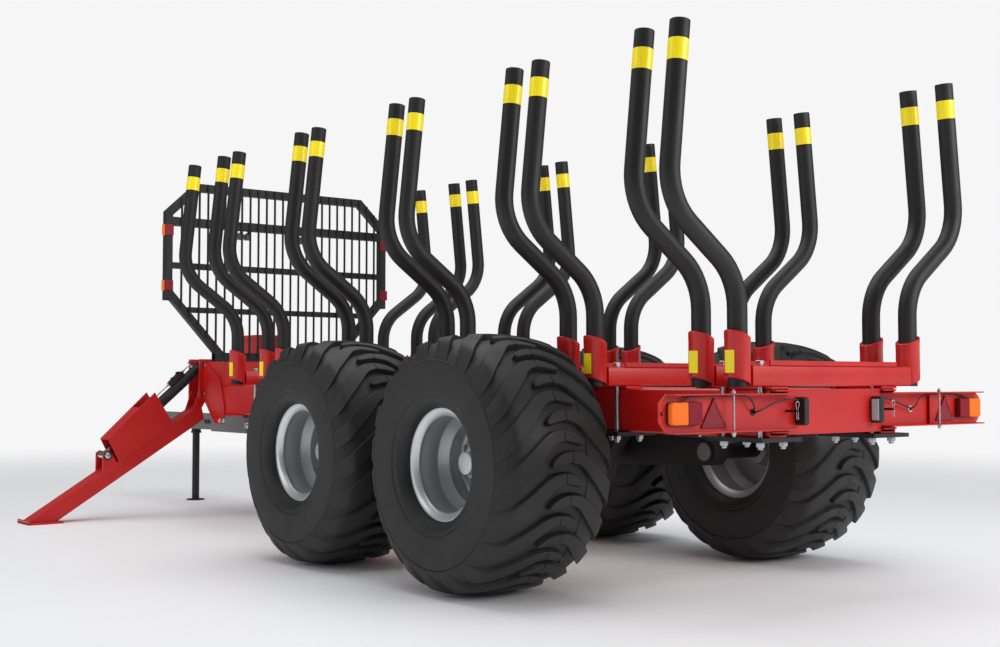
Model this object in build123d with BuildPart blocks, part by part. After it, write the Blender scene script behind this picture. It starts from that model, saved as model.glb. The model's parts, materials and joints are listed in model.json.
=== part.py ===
# Forestry trailer: twin-beam frame on tandem bogies, with bunks and bent stakes.
# Millimetres. X is to the trailer's right, Y is forward, Z is up from the floor.
import os
from math import atan2, cos, degrees, hypot, pi, radians, sin, tan

from build123d import *

os.makedirs("parts", exist_ok=True)

SIDES = (("left", -1), ("right", 1))

# Fits and gaps
RUN_GAP = 0.3  # between a round piece and the bore that it sits or turns in
SWING_GAP = 8.0  # between flat pieces that move past each other

# Wheels
AXLE_SPACING = 1373.0
TYRE_R = 628.5
TYRE_W = 660.0
TRACK_HALF = 1029.0  # trailer's centre plane to a tyre's middle
TYRE_FLATS = 20
LUG_COUNT = 20  # on each half of the tread
RIM_FLATS = 16
RIM_R = 255.0  # across the flats, where the tyre's bead sits
RIM_LIP_R = 269.5
RIM_LIP_T = 14.0
RIM_W = 526.0
RIM_WALL = 9.0
DISC_OUT = -2.5  # wheel disc's outer face, outboard of the tyre's middle
DISC_T = 16.0
HAND_HOLES = 6
HAND_HOLE_R = 24.0
HAND_HOLE_CIRCLE = 140.0
HUB_R = 82.0
HUB_OUT = 127.6
HUB_IN = -90.0
CAP_R = 55.5
CAP_T = 30.0
SPINDLE_R = 45.0

# Overall reach along Y from the datum, and the shift that puts the origin mid-length
EYE_Y = 5800.0
EYE_OUT_R = 67.5
TAIL_Y = -1945.0
DATUM_Y = -(EYE_Y + EYE_OUT_R + TAIL_Y) / 2

PIVOT_Y = 104.5  # bogies' pivot, as every Y below counted from the datum

# Frame beams
BEAM_X = 400.0
BEAM_W = 120.0
BEAM_BOTTOM = 776.0
BEAM_TOP = 990.0
BEAM_WALL = 10.0
BEAM_FRONT = 3470.0
BEAM_CHAMFER = 8.0
REAR_PLATE_Y = -1880.0  # rear face of the cross member between the beams
CHANNEL_T = 6.0
BEAM_REAR = REAR_PLATE_Y + CHANNEL_T

# Bunks: each row holds the places of one bunk's cross tubes, counted from the datum
BUNKS = (
    (2881.0,),
    (2422.0, 2199.0),
    (1363.0, 1156.0),
    (308.0, 113.0),
    (-728.0, -927.0),
    (-1627.0, -1839.0),
)
CROSS_W = 96.0
CROSS_H = 94.0
CROSS_WALL = 6.0
PAD_T = 10.0
CROSS_BOTTOM = BEAM_TOP + PAD_T

# Stakes and the sockets that hold them
STAKE_R = 44.45
STAKE_FLATS = 8
STAKE_X = 621.0
STAKE_BEND_Z = 1477.0
STAKE_WIDE_X = 1045.0
STAKE_WIDE_Z = 1780.0
STAKE_TOP_X = 963.0
STAKE_TOP_Z = 2544.0
STAKE_BEND_R = 265.0
STAKE_BEND_STEPS = 2
SOCKET_R = 57.0
SOCKET_SLANT = 21.5
SOCKET_TOP = 1226.0  # on the socket's axis, as the next
SOCKET_BOTTOM = 1021.0

# Clamp plates under the beams
CLAMP_T = 19.0
CLAMP_W = 270.0
CLAMP_L = 330.0

# Bogies
PIVOT_Z = 628.5
PIVOT_R = 62.0
WALKER_X = 575.0
WALKER_W = 110.0
WALKER_MID_H = 196.0
WALKER_MID_L = 260.0
WALKER_BOSS_R = 75.0
AXLE_CAP_R = 58.5
AXLE_CAP_T = 9.0

# Headboard
BOARD_Y = 3402.0
BOARD_TUBE = 60.0
BOARD_POST_X = 957.0
BOARD_POST_LOW = 1620.0
BOARD_POST_HIGH = 2274.0
BOARD_TOP_X = 720.0
BOARD_TOP_Z = 2472.0
BOARD_FOOT_X = 545.0
BOARD_FOOT_Z = 1203.0
BOARD_ROD_R = 8.5
BOARD_ROD_PITCH = 70.0
BOARD_ROD_COUNT = 25

# Stabiliser: pins are (distance from the centre plane, height)
LEG_Y = 3850.0
LEG_W = 150.0
LEG_H = 110.0
LEG_SLOPE = 32.2
LEG_DROP = 56.0  # pivot line to the leg's upper face
LEG_PIVOT = (450.0, 928.0)
RAM_TOP = (450.0, 1147.5)
RAM_FOOT = (1221.0, 472.0)
LEG_FOOT_X = 1686.0
FOOT_SIZE = 250.0
FOOT_T = 12.0
BARREL_R = 41.0
BARREL_L = 550.0
BARREL_END = 60.0  # solid length at the barrel's eye
BARREL_FLATS = 12
BORE_FLATS = 8
RAM_EYE_R = 38.0
RAM_EYE_W = 60.0
ROD_HIDDEN = 50.0  # length of the rod inside the barrel's mouth
ROD_R = 25.0
EYE_R = 32.0
PIN_R = 20.0
EAR_T = 15.0

# Drawbar
HITCH_Y = 3250.0
BAR_LOW = 608.0
BAR_HIGH = 758.0
SLEEVE_W = 190.0
BAR_W = 150.0
SLEEVE_FRONT = 4400.0
EYE_BORE_R = 25.0
EYE_T = 45.0
EYE_FLATS = 16
HITCH_PIN_R = 32.0

# Steering rams: places are (distance from the centre plane, Y)
STEER_BASE = (420.0, 2600.0)
STEER_EYE = (240.0, 3450.0)
STEER_Z = 683.0
STEER_BARREL_R = 36.0
STEER_BARREL_L = 480.0
STEER_ROD_R = 20.0
STEER_PIN_R = 15.0
STEER_EYE_R = 30.0
STEER_ROD_EYE_R = 26.0
STEER_ROD_HIDDEN = 150.0

# Parking jack
JACK_Y = 4890.0
JACK_R = 30.5
JACK_SLEEVE_R = 38.5
JACK_TOP = 960.0
JACK_FOOT_R = 77.5
JACK_FOOT_T = 8.0


def save(piece, name):
    piece.part.label = name
    export_step(piece.part, f"parts/{name}.step")


# Main frame: two hollow beams, cross tubes between them and the plates of the drawbar's hinge
CROSS_TIES = (3300.0, 1780.0, 700.0, -420.0, -1300.0)
TIE_W = 100.0
TIE_H = 120.0
HINGE_PLATE_T = 12.0
HINGE_PLATE_L = 320.0
HINGE_CHEEK_X = 200.0
HINGE_CHEEK_L = 90.0
HINGE_LOW = BAR_LOW - SWING_GAP
STEER_PIN_TAIL = 40.0
STEER_BOSS = 80.0
STEER_BOSS_T = 16.0

with BuildPart() as main_frame:
    for _, side in SIDES:
        with BuildSketch(Plane.XZ.offset(-(DATUM_Y + BEAM_FRONT))) as beam_section:
            with Locations((side * BEAM_X, (BEAM_TOP + BEAM_BOTTOM) / 2)):
                Rectangle(BEAM_W, BEAM_TOP - BEAM_BOTTOM)
                chamfer(beam_section.vertices(), BEAM_CHAMFER)
                Rectangle(
                    BEAM_W - 2 * BEAM_WALL, BEAM_TOP - BEAM_BOTTOM - 2 * BEAM_WALL, mode=Mode.SUBTRACT
                )
        extrude(amount=BEAM_FRONT - BEAM_REAR)
    tie_length = 2 * BEAM_X - BEAM_W
    with Locations(*[(0, DATUM_Y + y, (BEAM_TOP + BEAM_BOTTOM) / 2) for y in CROSS_TIES]):
        Box(tie_length, TIE_W, TIE_H)
    with Locations((0, DATUM_Y + HITCH_Y, BEAM_BOTTOM - HINGE_PLATE_T / 2)):
        Box(2 * BEAM_X + BEAM_W, HINGE_PLATE_L, HINGE_PLATE_T)
    with Locations((0, DATUM_Y + HITCH_Y, HINGE_LOW - HINGE_PLATE_T / 2)):
        Box(2 * HINGE_CHEEK_X, HINGE_PLATE_L * 0.75, HINGE_PLATE_T)
    cheek_height = BEAM_BOTTOM - HINGE_LOW + HINGE_PLATE_T
    cheek_y = HITCH_Y - HINGE_PLATE_L * 0.375 + HINGE_CHEEK_L / 2
    with Locations(
        *[
            (side * (HINGE_CHEEK_X - 8), DATUM_Y + cheek_y, HINGE_LOW - HINGE_PLATE_T + cheek_height / 2)
            for _, side in SIDES
        ]
    ):
        Box(16, HINGE_CHEEK_L, cheek_height)
    with BuildSketch(Plane.XY.offset(HINGE_LOW - HINGE_PLATE_T)):
        with Locations((0, DATUM_Y + HITCH_Y)):
            Circle(HITCH_PIN_R)
    extrude(amount=BEAM_BOTTOM - HINGE_LOW + HINGE_PLATE_T)
    with BuildSketch(Plane.XY.offset(BEAM_BOTTOM)):
        with Locations(*[(side * STEER_BASE[0], DATUM_Y + STEER_BASE[1]) for _, side in SIDES]):
            Circle(STEER_PIN_R)
    extrude(amount=-(BEAM_BOTTOM - STEER_Z + STEER_PIN_TAIL))
    with BuildSketch(Plane.XY.offset(BEAM_BOTTOM)):
        with Locations(*[(side * STEER_BASE[0], DATUM_Y + STEER_BASE[1]) for _, side in SIDES]):
            Rectangle(STEER_BOSS, STEER_BOSS)
    extrude(amount=-STEER_BOSS_T)
save(main_frame, "main_frame")

# Rear cross member: a pressed channel between the beams' ends
REAR_PLATE_X = BEAM_X - BEAM_W / 2
REAR_PLATE_LOW = 787.0
REAR_PLATE_T = 8.0
REAR_FLANGE = 40.0
with BuildPart() as rear_cross_member:
    with BuildSketch(Plane.YZ.offset(-REAR_PLATE_X)):
        rear_y = DATUM_Y + REAR_PLATE_Y
        with BuildLine():
            Polyline(
                (rear_y + REAR_FLANGE, REAR_PLATE_LOW),
                (rear_y, REAR_PLATE_LOW),
                (rear_y, BEAM_TOP),
                (rear_y + REAR_FLANGE, BEAM_TOP),
                (rear_y + REAR_FLANGE, BEAM_TOP - REAR_PLATE_T),
                (rear_y + REAR_PLATE_T, BEAM_TOP - REAR_PLATE_T),
                (rear_y + REAR_PLATE_T, REAR_PLATE_LOW + REAR_PLATE_T),
                (rear_y + REAR_FLANGE, REAR_PLATE_LOW + REAR_PLATE_T),
                close=True,
            )
        make_face()
    extrude(amount=2 * REAR_PLATE_X)
save(rear_cross_member, "rear_cross_member")

# Light channels: on each side a channel open to the rear, and the lamps' own channel lapped on its end
CHANNEL_LOW = 810.0
CHANNEL_HIGH = 972.0
INNER_FAR = 770.0
LAMP_WEB_NEAR = 716.0
LAMP_WEB_Y = -1895.0
FLANGE_FAR = 1115.0
CHANNEL_OUT = 1158.0
CHANNEL_END = (857.0, 934.0)  # heights between which the lamps' web reaches CHANNEL_OUT
CABLE_HOLES = (573.0, 1139.0)
CABLE_HOLE_R = 12.0
for word, side in SIDES:
    with BuildPart() as light_channel:
        for near, far, web_y in (
            (REAR_PLATE_X, INNER_FAR, REAR_PLATE_Y),
            (LAMP_WEB_NEAR, FLANGE_FAR, LAMP_WEB_Y),
        ):
            with BuildSketch(Plane.YZ.offset(side * near)):
                with BuildLine():
                    Polyline(
                        (DATUM_Y + TAIL_Y, CHANNEL_LOW),
                        (DATUM_Y + web_y + CHANNEL_T, CHANNEL_LOW),
                        (DATUM_Y + web_y + CHANNEL_T, CHANNEL_HIGH),
                        (DATUM_Y + TAIL_Y, CHANNEL_HIGH),
                        (DATUM_Y + TAIL_Y, CHANNEL_HIGH - CHANNEL_T),
                        (DATUM_Y + web_y, CHANNEL_HIGH - CHANNEL_T),
                        (DATUM_Y + web_y, CHANNEL_LOW + CHANNEL_T),
                        (DATUM_Y + TAIL_Y, CHANNEL_LOW + CHANNEL_T),
                        close=True,
                    )
                make_face()
            extrude(amount=side * (far - near))
        with BuildSketch(Plane.XZ.offset(-(DATUM_Y + LAMP_WEB_Y))):
            with BuildLine():
                Polyline(
                    (side * FLANGE_FAR, CHANNEL_LOW),
                    (side * CHANNEL_OUT, CHANNEL_END[0]),
                    (side * CHANNEL_OUT, CHANNEL_END[1]),
                    (side * FLANGE_FAR, CHANNEL_HIGH),
                    close=True,
                )
            make_face()
        extrude(amount=-CHANNEL_T)
        with BuildSketch(Plane.XZ.offset(-(DATUM_Y + REAR_PLATE_Y + CHANNEL_T))):
            with Locations(*[(side * hole_x, (CHANNEL_LOW + CHANNEL_HIGH) / 2) for hole_x in CABLE_HOLES]):
                RegularPolygon(CABLE_HOLE_R, 8)
        extrude(amount=REAR_PLATE_Y - LAMP_WEB_Y + CHANNEL_T, mode=Mode.SUBTRACT)
    save(light_channel, f"light_channel_{word}")

# Tail lamps and reflectors on the lamp channels' webs
LAMP_IN, LAMP_OUT = 932.0, 1115.0
LAMP_LOW, LAMP_HIGH = 843.0, 940.0
LAMP_DEPTH = 31.0
with BuildPart() as tail_lamps:
    with BuildSketch(Plane.XZ.offset(-(DATUM_Y + LAMP_WEB_Y))):
        with Locations(*[(side * (LAMP_IN + LAMP_OUT) / 2, (LAMP_LOW + LAMP_HIGH) / 2) for _, side in SIDES]):
            Rectangle(LAMP_OUT - LAMP_IN, LAMP_HIGH - LAMP_LOW)
    extrude(amount=LAMP_DEPTH)
save(tail_lamps, "tail_lamps")

REFLECTOR_IN, REFLECTOR_OUT = 756.0, 919.0
REFLECTOR_LOW, REFLECTOR_HIGH = 829.0, 957.0
REFLECTOR_T = 8.0
with BuildPart() as rear_reflectors:
    with BuildSketch(Plane.XZ.offset(-(DATUM_Y + LAMP_WEB_Y))):
        for _, side in SIDES:
            with BuildLine():
                Polyline(
                    (side * REFLECTOR_IN, REFLECTOR_LOW),
                    (side * REFLECTOR_OUT, REFLECTOR_LOW),
                    (side * (REFLECTOR_IN + REFLECTOR_OUT) / 2, REFLECTOR_HIGH),
                    close=True,
                )
            make_face()
    extrude(amount=REFLECTOR_T)
save(rear_reflectors, "rear_reflectors")

# Number-plate lamps, standing out from the rear cross member with their outer corners cut off
PLATE_LAMP_X = 273.0
PLATE_LAMP_W = 38.0
PLATE_LAMP_LOW, PLATE_LAMP_HIGH = 828.0, 955.0
PLATE_LAMP_DEPTH = 55.0
PLATE_LAMP_CUT = 10.0
with BuildPart() as plate_lamps:
    with BuildSketch(Plane.XY.offset(PLATE_LAMP_LOW)):
        for _, side in SIDES:
            for face in (-1, 1):
                edge = side * PLATE_LAMP_X + face * PLATE_LAMP_W / 2
                with BuildLine():
                    Polyline(
                        (side * PLATE_LAMP_X, DATUM_Y + REAR_PLATE_Y),
                        (edge, DATUM_Y + REAR_PLATE_Y),
                        (edge, DATUM_Y + REAR_PLATE_Y - PLATE_LAMP_DEPTH + PLATE_LAMP_CUT),
                        (edge - face * PLATE_LAMP_CUT, DATUM_Y + REAR_PLATE_Y - PLATE_LAMP_DEPTH),
                        (side * PLATE_LAMP_X, DATUM_Y + REAR_PLATE_Y - PLATE_LAMP_DEPTH),
                        close=True,
                    )
                make_face()
    extrude(amount=PLATE_LAMP_HIGH - PLATE_LAMP_LOW)
save(plate_lamps, "plate_lamps")

# Bunks: hollow cross tubes on pads, with a slant-cut stake socket at each end
SLANT_RUN = 90.0
SLANT_RISE = SLANT_RUN * tan(radians(SOCKET_SLANT))
STAKE_BORE_R = STAKE_R + RUN_GAP / cos(pi / STAKE_FLATS)
for number, tubes in enumerate(BUNKS, start=1):
    spots = [(side * STAKE_X, DATUM_Y + y) for y in tubes for _, side in SIDES]
    with BuildPart() as bunk:
        with BuildSketch(Plane.YZ.offset(-STAKE_X)):
            with Locations(*[(DATUM_Y + y, CROSS_BOTTOM + CROSS_H / 2) for y in tubes]):
                Rectangle(CROSS_W, CROSS_H)
        extrude(amount=2 * STAKE_X)
        with BuildSketch(Plane.XY.offset(SOCKET_BOTTOM - SLANT_RISE)):
            with Locations(*spots):
                RegularPolygon(SOCKET_R, STAKE_FLATS)
        extrude(amount=SOCKET_TOP - SOCKET_BOTTOM + 2 * SLANT_RISE)
        with BuildSketch(Plane.XZ.offset(-DATUM_Y - tubes[-1])):
            for _, side in SIDES:
                for axis_z, far in ((SOCKET_TOP, SLANT_RISE + 1), (SOCKET_BOTTOM, -SLANT_RISE - 1)):
                    with BuildLine():
                        Polyline(
                            (side * (STAKE_X - SLANT_RUN), axis_z - SLANT_RISE),
                            (side * (STAKE_X + SLANT_RUN), axis_z + SLANT_RISE),
                            (side * (STAKE_X + SLANT_RUN), axis_z + far),
                            (side * (STAKE_X - SLANT_RUN), axis_z + far),
                            close=True,
                        )
                    make_face()
        extrude(amount=CLAMP_L * 1.5, both=True, mode=Mode.SUBTRACT)
        with BuildSketch(Plane.XY.offset(SOCKET_BOTTOM - SLANT_RISE)):
            with Locations(*spots):
                RegularPolygon(STAKE_BORE_R, STAKE_FLATS)
        extrude(amount=SOCKET_TOP - SOCKET_BOTTOM + 2 * SLANT_RISE, mode=Mode.SUBTRACT)
        with BuildSketch(Plane.YZ.offset(-STAKE_X + SOCKET_R)):
            with Locations(*[(DATUM_Y + y, CROSS_BOTTOM + CROSS_H / 2) for y in tubes]):
                Rectangle(CROSS_W - 2 * CROSS_WALL, CROSS_H - 2 * CROSS_WALL)
        extrude(amount=2 * (STAKE_X - SOCKET_R), mode=Mode.SUBTRACT)
        pad_length = tubes[0] - tubes[-1] + CROSS_W
        with BuildSketch(Plane.XY.offset(BEAM_TOP)):
            with Locations(*[(side * BEAM_X, DATUM_Y + (tubes[0] + tubes[-1]) / 2) for _, side in SIDES]):
                Rectangle(BEAM_W, pad_length)
        extrude(amount=PAD_T)
    save(bunk, f"bunk_{number}")


def bend(before, corner, after, radius, steps):
    """Corners of the straight steps that stand for a bend in the plane of X and Z."""
    come = (Vector(*corner) - Vector(*before)).normalized()
    go = (Vector(*after) - Vector(*corner)).normalized()
    turn = come.get_signed_angle(go, Vector(0, 0, 1))
    inward = come.rotate(Axis.Z, 90 if turn > 0 else -90)
    centre = Vector(*corner) - come * (radius * tan(radians(abs(turn) / 2))) + inward * radius
    arm = inward * (-radius / cos(radians(turn / steps / 2)))
    spokes = [arm.rotate(Axis.Z, turn * (step + 0.5) / steps) for step in range(steps)]
    return [((centre + spoke).X, (centre + spoke).Y) for spoke in spokes]


# Stakes: bent out over the tyres and back in, standing in the bunks' sockets
STAKE_CORNERS = (
    (STAKE_X, CROSS_BOTTOM),
    (STAKE_X, STAKE_BEND_Z),
    (STAKE_WIDE_X, STAKE_WIDE_Z),
    (STAKE_TOP_X, STAKE_TOP_Z),
)
STAKE_ROUTE = [
    STAKE_CORNERS[0],
    *bend(*STAKE_CORNERS[0:3], STAKE_BEND_R, STAKE_BEND_STEPS),
    *bend(*STAKE_CORNERS[1:4], STAKE_BEND_R, STAKE_BEND_STEPS),
    STAKE_CORNERS[3],
]
for number, tubes in enumerate(BUNKS, start=1):
    with BuildPart() as stakes:
        for tube_y in tubes:
            for _, side in SIDES:
                with BuildLine(Plane.XZ.offset(-DATUM_Y - tube_y)) as route:
                    Polyline(*[(side * x, z) for x, z in STAKE_ROUTE])
                with BuildSketch(Plane.XY.offset(CROSS_BOTTOM)):
                    with Locations((side * STAKE_X, DATUM_Y + tube_y)):
                        RegularPolygon(STAKE_R, STAKE_FLATS)
                sweep(path=route.line, transition=Transition.RIGHT)
    save(stakes, f"stakes_{number}")

# Clamp plates under the beams, one on each side below every bunk
with BuildPart() as clamp_plates:
    for tubes in BUNKS:
        with Locations(
            *[
                (side * BEAM_X, DATUM_Y + (tubes[0] + tubes[-1]) / 2, BEAM_BOTTOM - CLAMP_T / 2)
                for _, side in SIDES
            ]
        ):
            Box(CLAMP_W, CLAMP_L if len(tubes) > 1 else CLAMP_L * 0.45, CLAMP_T)
save(clamp_plates, "clamp_plates")

BOGIE_Y = DATUM_Y + PIVOT_Y

# Bogie pivot: a cross tube in a saddle under each beam
SADDLE_TOP = (-250.0, -100.0)
SADDLE_W = 100.0
PIVOT_FLATS = 16
SADDLE_REACH = 95.0
with BuildPart() as bogie_pivot:
    with BuildSketch(Plane.YZ.offset(-WALKER_X - WALKER_W / 2 - 10)):
        with Locations((BOGIE_Y, PIVOT_Z)):
            RegularPolygon(PIVOT_R, PIVOT_FLATS)
    extrude(amount=2 * WALKER_X + WALKER_W + 20)
    for _, side in SIDES:
        with BuildSketch(Plane.YZ.offset(side * BEAM_X - SADDLE_W / 2)):
            with BuildLine():
                Polyline(
                    (BOGIE_Y + SADDLE_TOP[0], BEAM_BOTTOM),
                    (BOGIE_Y + SADDLE_TOP[1], BEAM_BOTTOM),
                    (BOGIE_Y + SADDLE_REACH, PIVOT_Z),
                    (BOGIE_Y, PIVOT_Z - SADDLE_REACH),
                    (BOGIE_Y - SADDLE_REACH, PIVOT_Z),
                    close=True,
                )
            make_face()
        extrude(amount=SADDLE_W)
save(bogie_pivot, "bogie_pivot")

# Walking beams, with the wheels' spindles and, on the inner side, the axles' caps
HALF_SPACING = AXLE_SPACING / 2
BOSS_CUT = WALKER_BOSS_R * tan(pi / 8)
AXLE_ENDS = [(BOGIE_Y + end * HALF_SPACING, TYRE_R) for end in (-1, 1)]
for word, side in SIDES:
    with BuildPart() as walking_beam:
        with BuildSketch(Plane.YZ.offset(side * WALKER_X - WALKER_W / 2)):
            with BuildLine():
                upper = [
                    (HALF_SPACING + WALKER_BOSS_R, BOSS_CUT),
                    (HALF_SPACING + BOSS_CUT, WALKER_BOSS_R),
                    (WALKER_MID_L / 2, WALKER_MID_H / 2),
                ]
                lower = [(along, -up) for along, up in reversed(upper)]
                Polyline(
                    *[(BOGIE_Y - along, TYRE_R + up) for along, up in upper],
                    *[(BOGIE_Y + along, TYRE_R + up) for along, up in reversed(upper)],
                    *[(BOGIE_Y + along, TYRE_R + up) for along, up in reversed(lower)],
                    *[(BOGIE_Y - along, TYRE_R + up) for along, up in lower],
                    close=True,
                )
            make_face()
            with Locations((BOGIE_Y, PIVOT_Z)):
                RegularPolygon(PIVOT_R + RUN_GAP, PIVOT_FLATS, mode=Mode.SUBTRACT)
        extrude(amount=WALKER_W)
        with BuildSketch(Plane.YZ.offset(side * (WALKER_X - WALKER_W / 2))):
            with Locations(*AXLE_ENDS):
                RegularPolygon(AXLE_CAP_R, PIVOT_FLATS)
        extrude(amount=-side * AXLE_CAP_T)
        with BuildSketch(Plane.YZ.offset(side * (WALKER_X + WALKER_W / 2))):
            with Locations(*AXLE_ENDS):
                Circle(SPINDLE_R)
        extrude(amount=side * (TRACK_HALF + HUB_OUT - CAP_T - WALKER_X - WALKER_W / 2))
    save(walking_beam, f"walking_beam_{word}")

# Tyres: the body's section and the tread's are (distance from the tyre's middle, radius to a flat)
TYRE_BODY = ((-TYRE_W / 2, 504.0), (-252.0, 587.0), (252.0, 587.0), (TYRE_W / 2, 504.0))
TYRE_TREAD = ((-304.0, 562.0), (-272.0, 600.0), (-150.0, TYRE_R), (150.0, TYRE_R), (272.0, 600.0), (304.0, 562.0))
BEAD_R = RIM_R + RUN_GAP
# One lug as (distance from the tyre's middle, degrees round from its own tip)
LUG_PLAN = ((6.0, 0.0), (292.0, -15.5), (292.0, -26.0), (6.0, -4.9))
LUG_TIPS = ((1, 16.4), (-1, 7.3))  # first tip of the outer and the inner half, degrees up from the rear
LUG_MIDDLE = -11.0
LUG_ROOT = 530.0


def flat_circle(radius, flats):
    """A regular outline with one flat side at the bottom, radius measured to the flats."""
    RegularPolygon(radius, flats, major_radius=False, rotation=180 / flats)


with BuildPart() as tread:
    for hand, tip in LUG_TIPS:
        for index in range(LUG_COUNT):
            heading = radians(tip + LUG_MIDDLE + index * 360 / LUG_COUNT)
            spoke = Plane(origin=(0, 0, 0), x_dir=(1, 0, 0), z_dir=(0, -cos(heading), sin(heading)))
            with BuildSketch(spoke.offset(LUG_ROOT)):
                with BuildLine():
                    Polyline(
                        *[
                            (hand * across, TYRE_R * sin(radians(turn - LUG_MIDDLE)))
                            for across, turn in LUG_PLAN
                        ],
                        close=True,
                    )
                make_face()
            extrude(amount=TYRE_R - LUG_ROOT + 20)
with BuildPart() as tread_envelope:
    for across, radius in TYRE_TREAD:
        with BuildSketch(Plane.YZ.offset(across)):
            flat_circle(radius, TYRE_FLATS)
    loft(ruled=True)
with BuildPart() as outer_right_tyre:
    for across, radius in TYRE_BODY:
        with BuildSketch(Plane.YZ.offset(across)):
            flat_circle(radius, TYRE_FLATS)
    loft(ruled=True)
    add(tread.part & tread_envelope.part)
    with BuildSketch(Plane.YZ.offset(-TYRE_W / 2)):
        flat_circle(BEAD_R, RIM_FLATS)
    extrude(amount=TYRE_W, mode=Mode.SUBTRACT)
    for face in (-1, 1):
        with BuildSketch(Plane.YZ.offset(face * (RIM_W / 2 - RIM_LIP_T))):
            flat_circle(RIM_LIP_R + RUN_GAP, RIM_FLATS)
        extrude(amount=face * (TYRE_W / 2 - RIM_W / 2 + RIM_LIP_T), mode=Mode.SUBTRACT)

# Rims: a wall with lips, stepped in to the disc, and the hub
WELL_STEPS = ((RIM_W / 2, 266.0), (235.0, 238.0), (119.0, 238.0), (75.0, 202.0), (DISC_OUT, 202.0))
HUB_FLATS = 12
with BuildPart() as right_rim:
    with BuildSketch(Plane.YZ.offset(-RIM_W / 2)):
        flat_circle(RIM_R, RIM_FLATS)
    extrude(amount=RIM_W)
    for face in (-1, 1):
        with BuildSketch(Plane.YZ.offset(face * RIM_W / 2)):
            flat_circle(RIM_LIP_R, RIM_FLATS)
        extrude(amount=-face * (RIM_LIP_T - RUN_GAP))
    with BuildSketch(Plane.YZ.offset(DISC_OUT - DISC_T)):
        flat_circle(RIM_R - RIM_WALL, RIM_FLATS)
    extrude(amount=-(RIM_W / 2 + DISC_OUT - DISC_T), mode=Mode.SUBTRACT)
    for (start, wide), (stop, narrow) in zip(WELL_STEPS, WELL_STEPS[1:]):
        with BuildSketch(Plane.YZ.offset(start)):
            flat_circle(wide, RIM_FLATS)
        with BuildSketch(Plane.YZ.offset(stop)):
            flat_circle(narrow, RIM_FLATS)
        loft(ruled=True, mode=Mode.SUBTRACT)
    with BuildSketch(Plane.YZ.offset(DISC_OUT)):
        with PolarLocations(HAND_HOLE_CIRCLE, HAND_HOLES):
            RegularPolygon(HAND_HOLE_R, 6)
    extrude(amount=-DISC_T, mode=Mode.SUBTRACT)
    for radius, start, stop in ((HUB_R, HUB_IN, HUB_OUT - CAP_T), (CAP_R, HUB_OUT - CAP_T, HUB_OUT)):
        with BuildSketch(Plane.YZ.offset(start)):
            flat_circle(radius, HUB_FLATS)
        extrude(amount=stop - start)
    with BuildSketch(Plane.YZ.offset(HUB_IN)):
        flat_circle(SPINDLE_R + RUN_GAP, HUB_FLATS)
    extrude(amount=HUB_OUT - CAP_T - HUB_IN + RUN_GAP, mode=Mode.SUBTRACT)

for end_word, end in (("front", 1), ("rear", -1)):
    for word, side in SIDES:
        for kind, form in (("tyre", outer_right_tyre), ("rim", right_rim)):
            with BuildPart() as placed:
                if side > 0:
                    add(form.part)
                else:
                    mirror(form.part, about=Plane.YZ)
            placed.part.position = (side * TRACK_HALF, BOGIE_Y + end * HALF_SPACING, TYRE_R)
            save(placed, f"{kind}_{end_word}_{word}")

# Front beam: the box that carries the headboard, the crane seat and the stabilisers
FRONT_BOX_X = 460.0
FRONT_BOX_REAR = 3365.0
FRONT_BOX_TOP = BOARD_FOOT_Z - BOARD_TUBE / 2
EAR_REAR = LEG_Y - LEG_W / 2 - SWING_GAP
EAR_FRONT = LEG_Y + LEG_W / 2 + SWING_GAP
BRACKET_OUT = LEG_PIVOT[0] + 58.0
BRACKET_IN = LEG_PIVOT[0] - 61.0
BRACKET_LOW = LEG_PIVOT[1] - 43.0
BRACKET_HIGH = RAM_TOP[1] + 48.0
BRACKET_ROOT = 300.0
BRIDGE_X = 330.0
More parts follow.
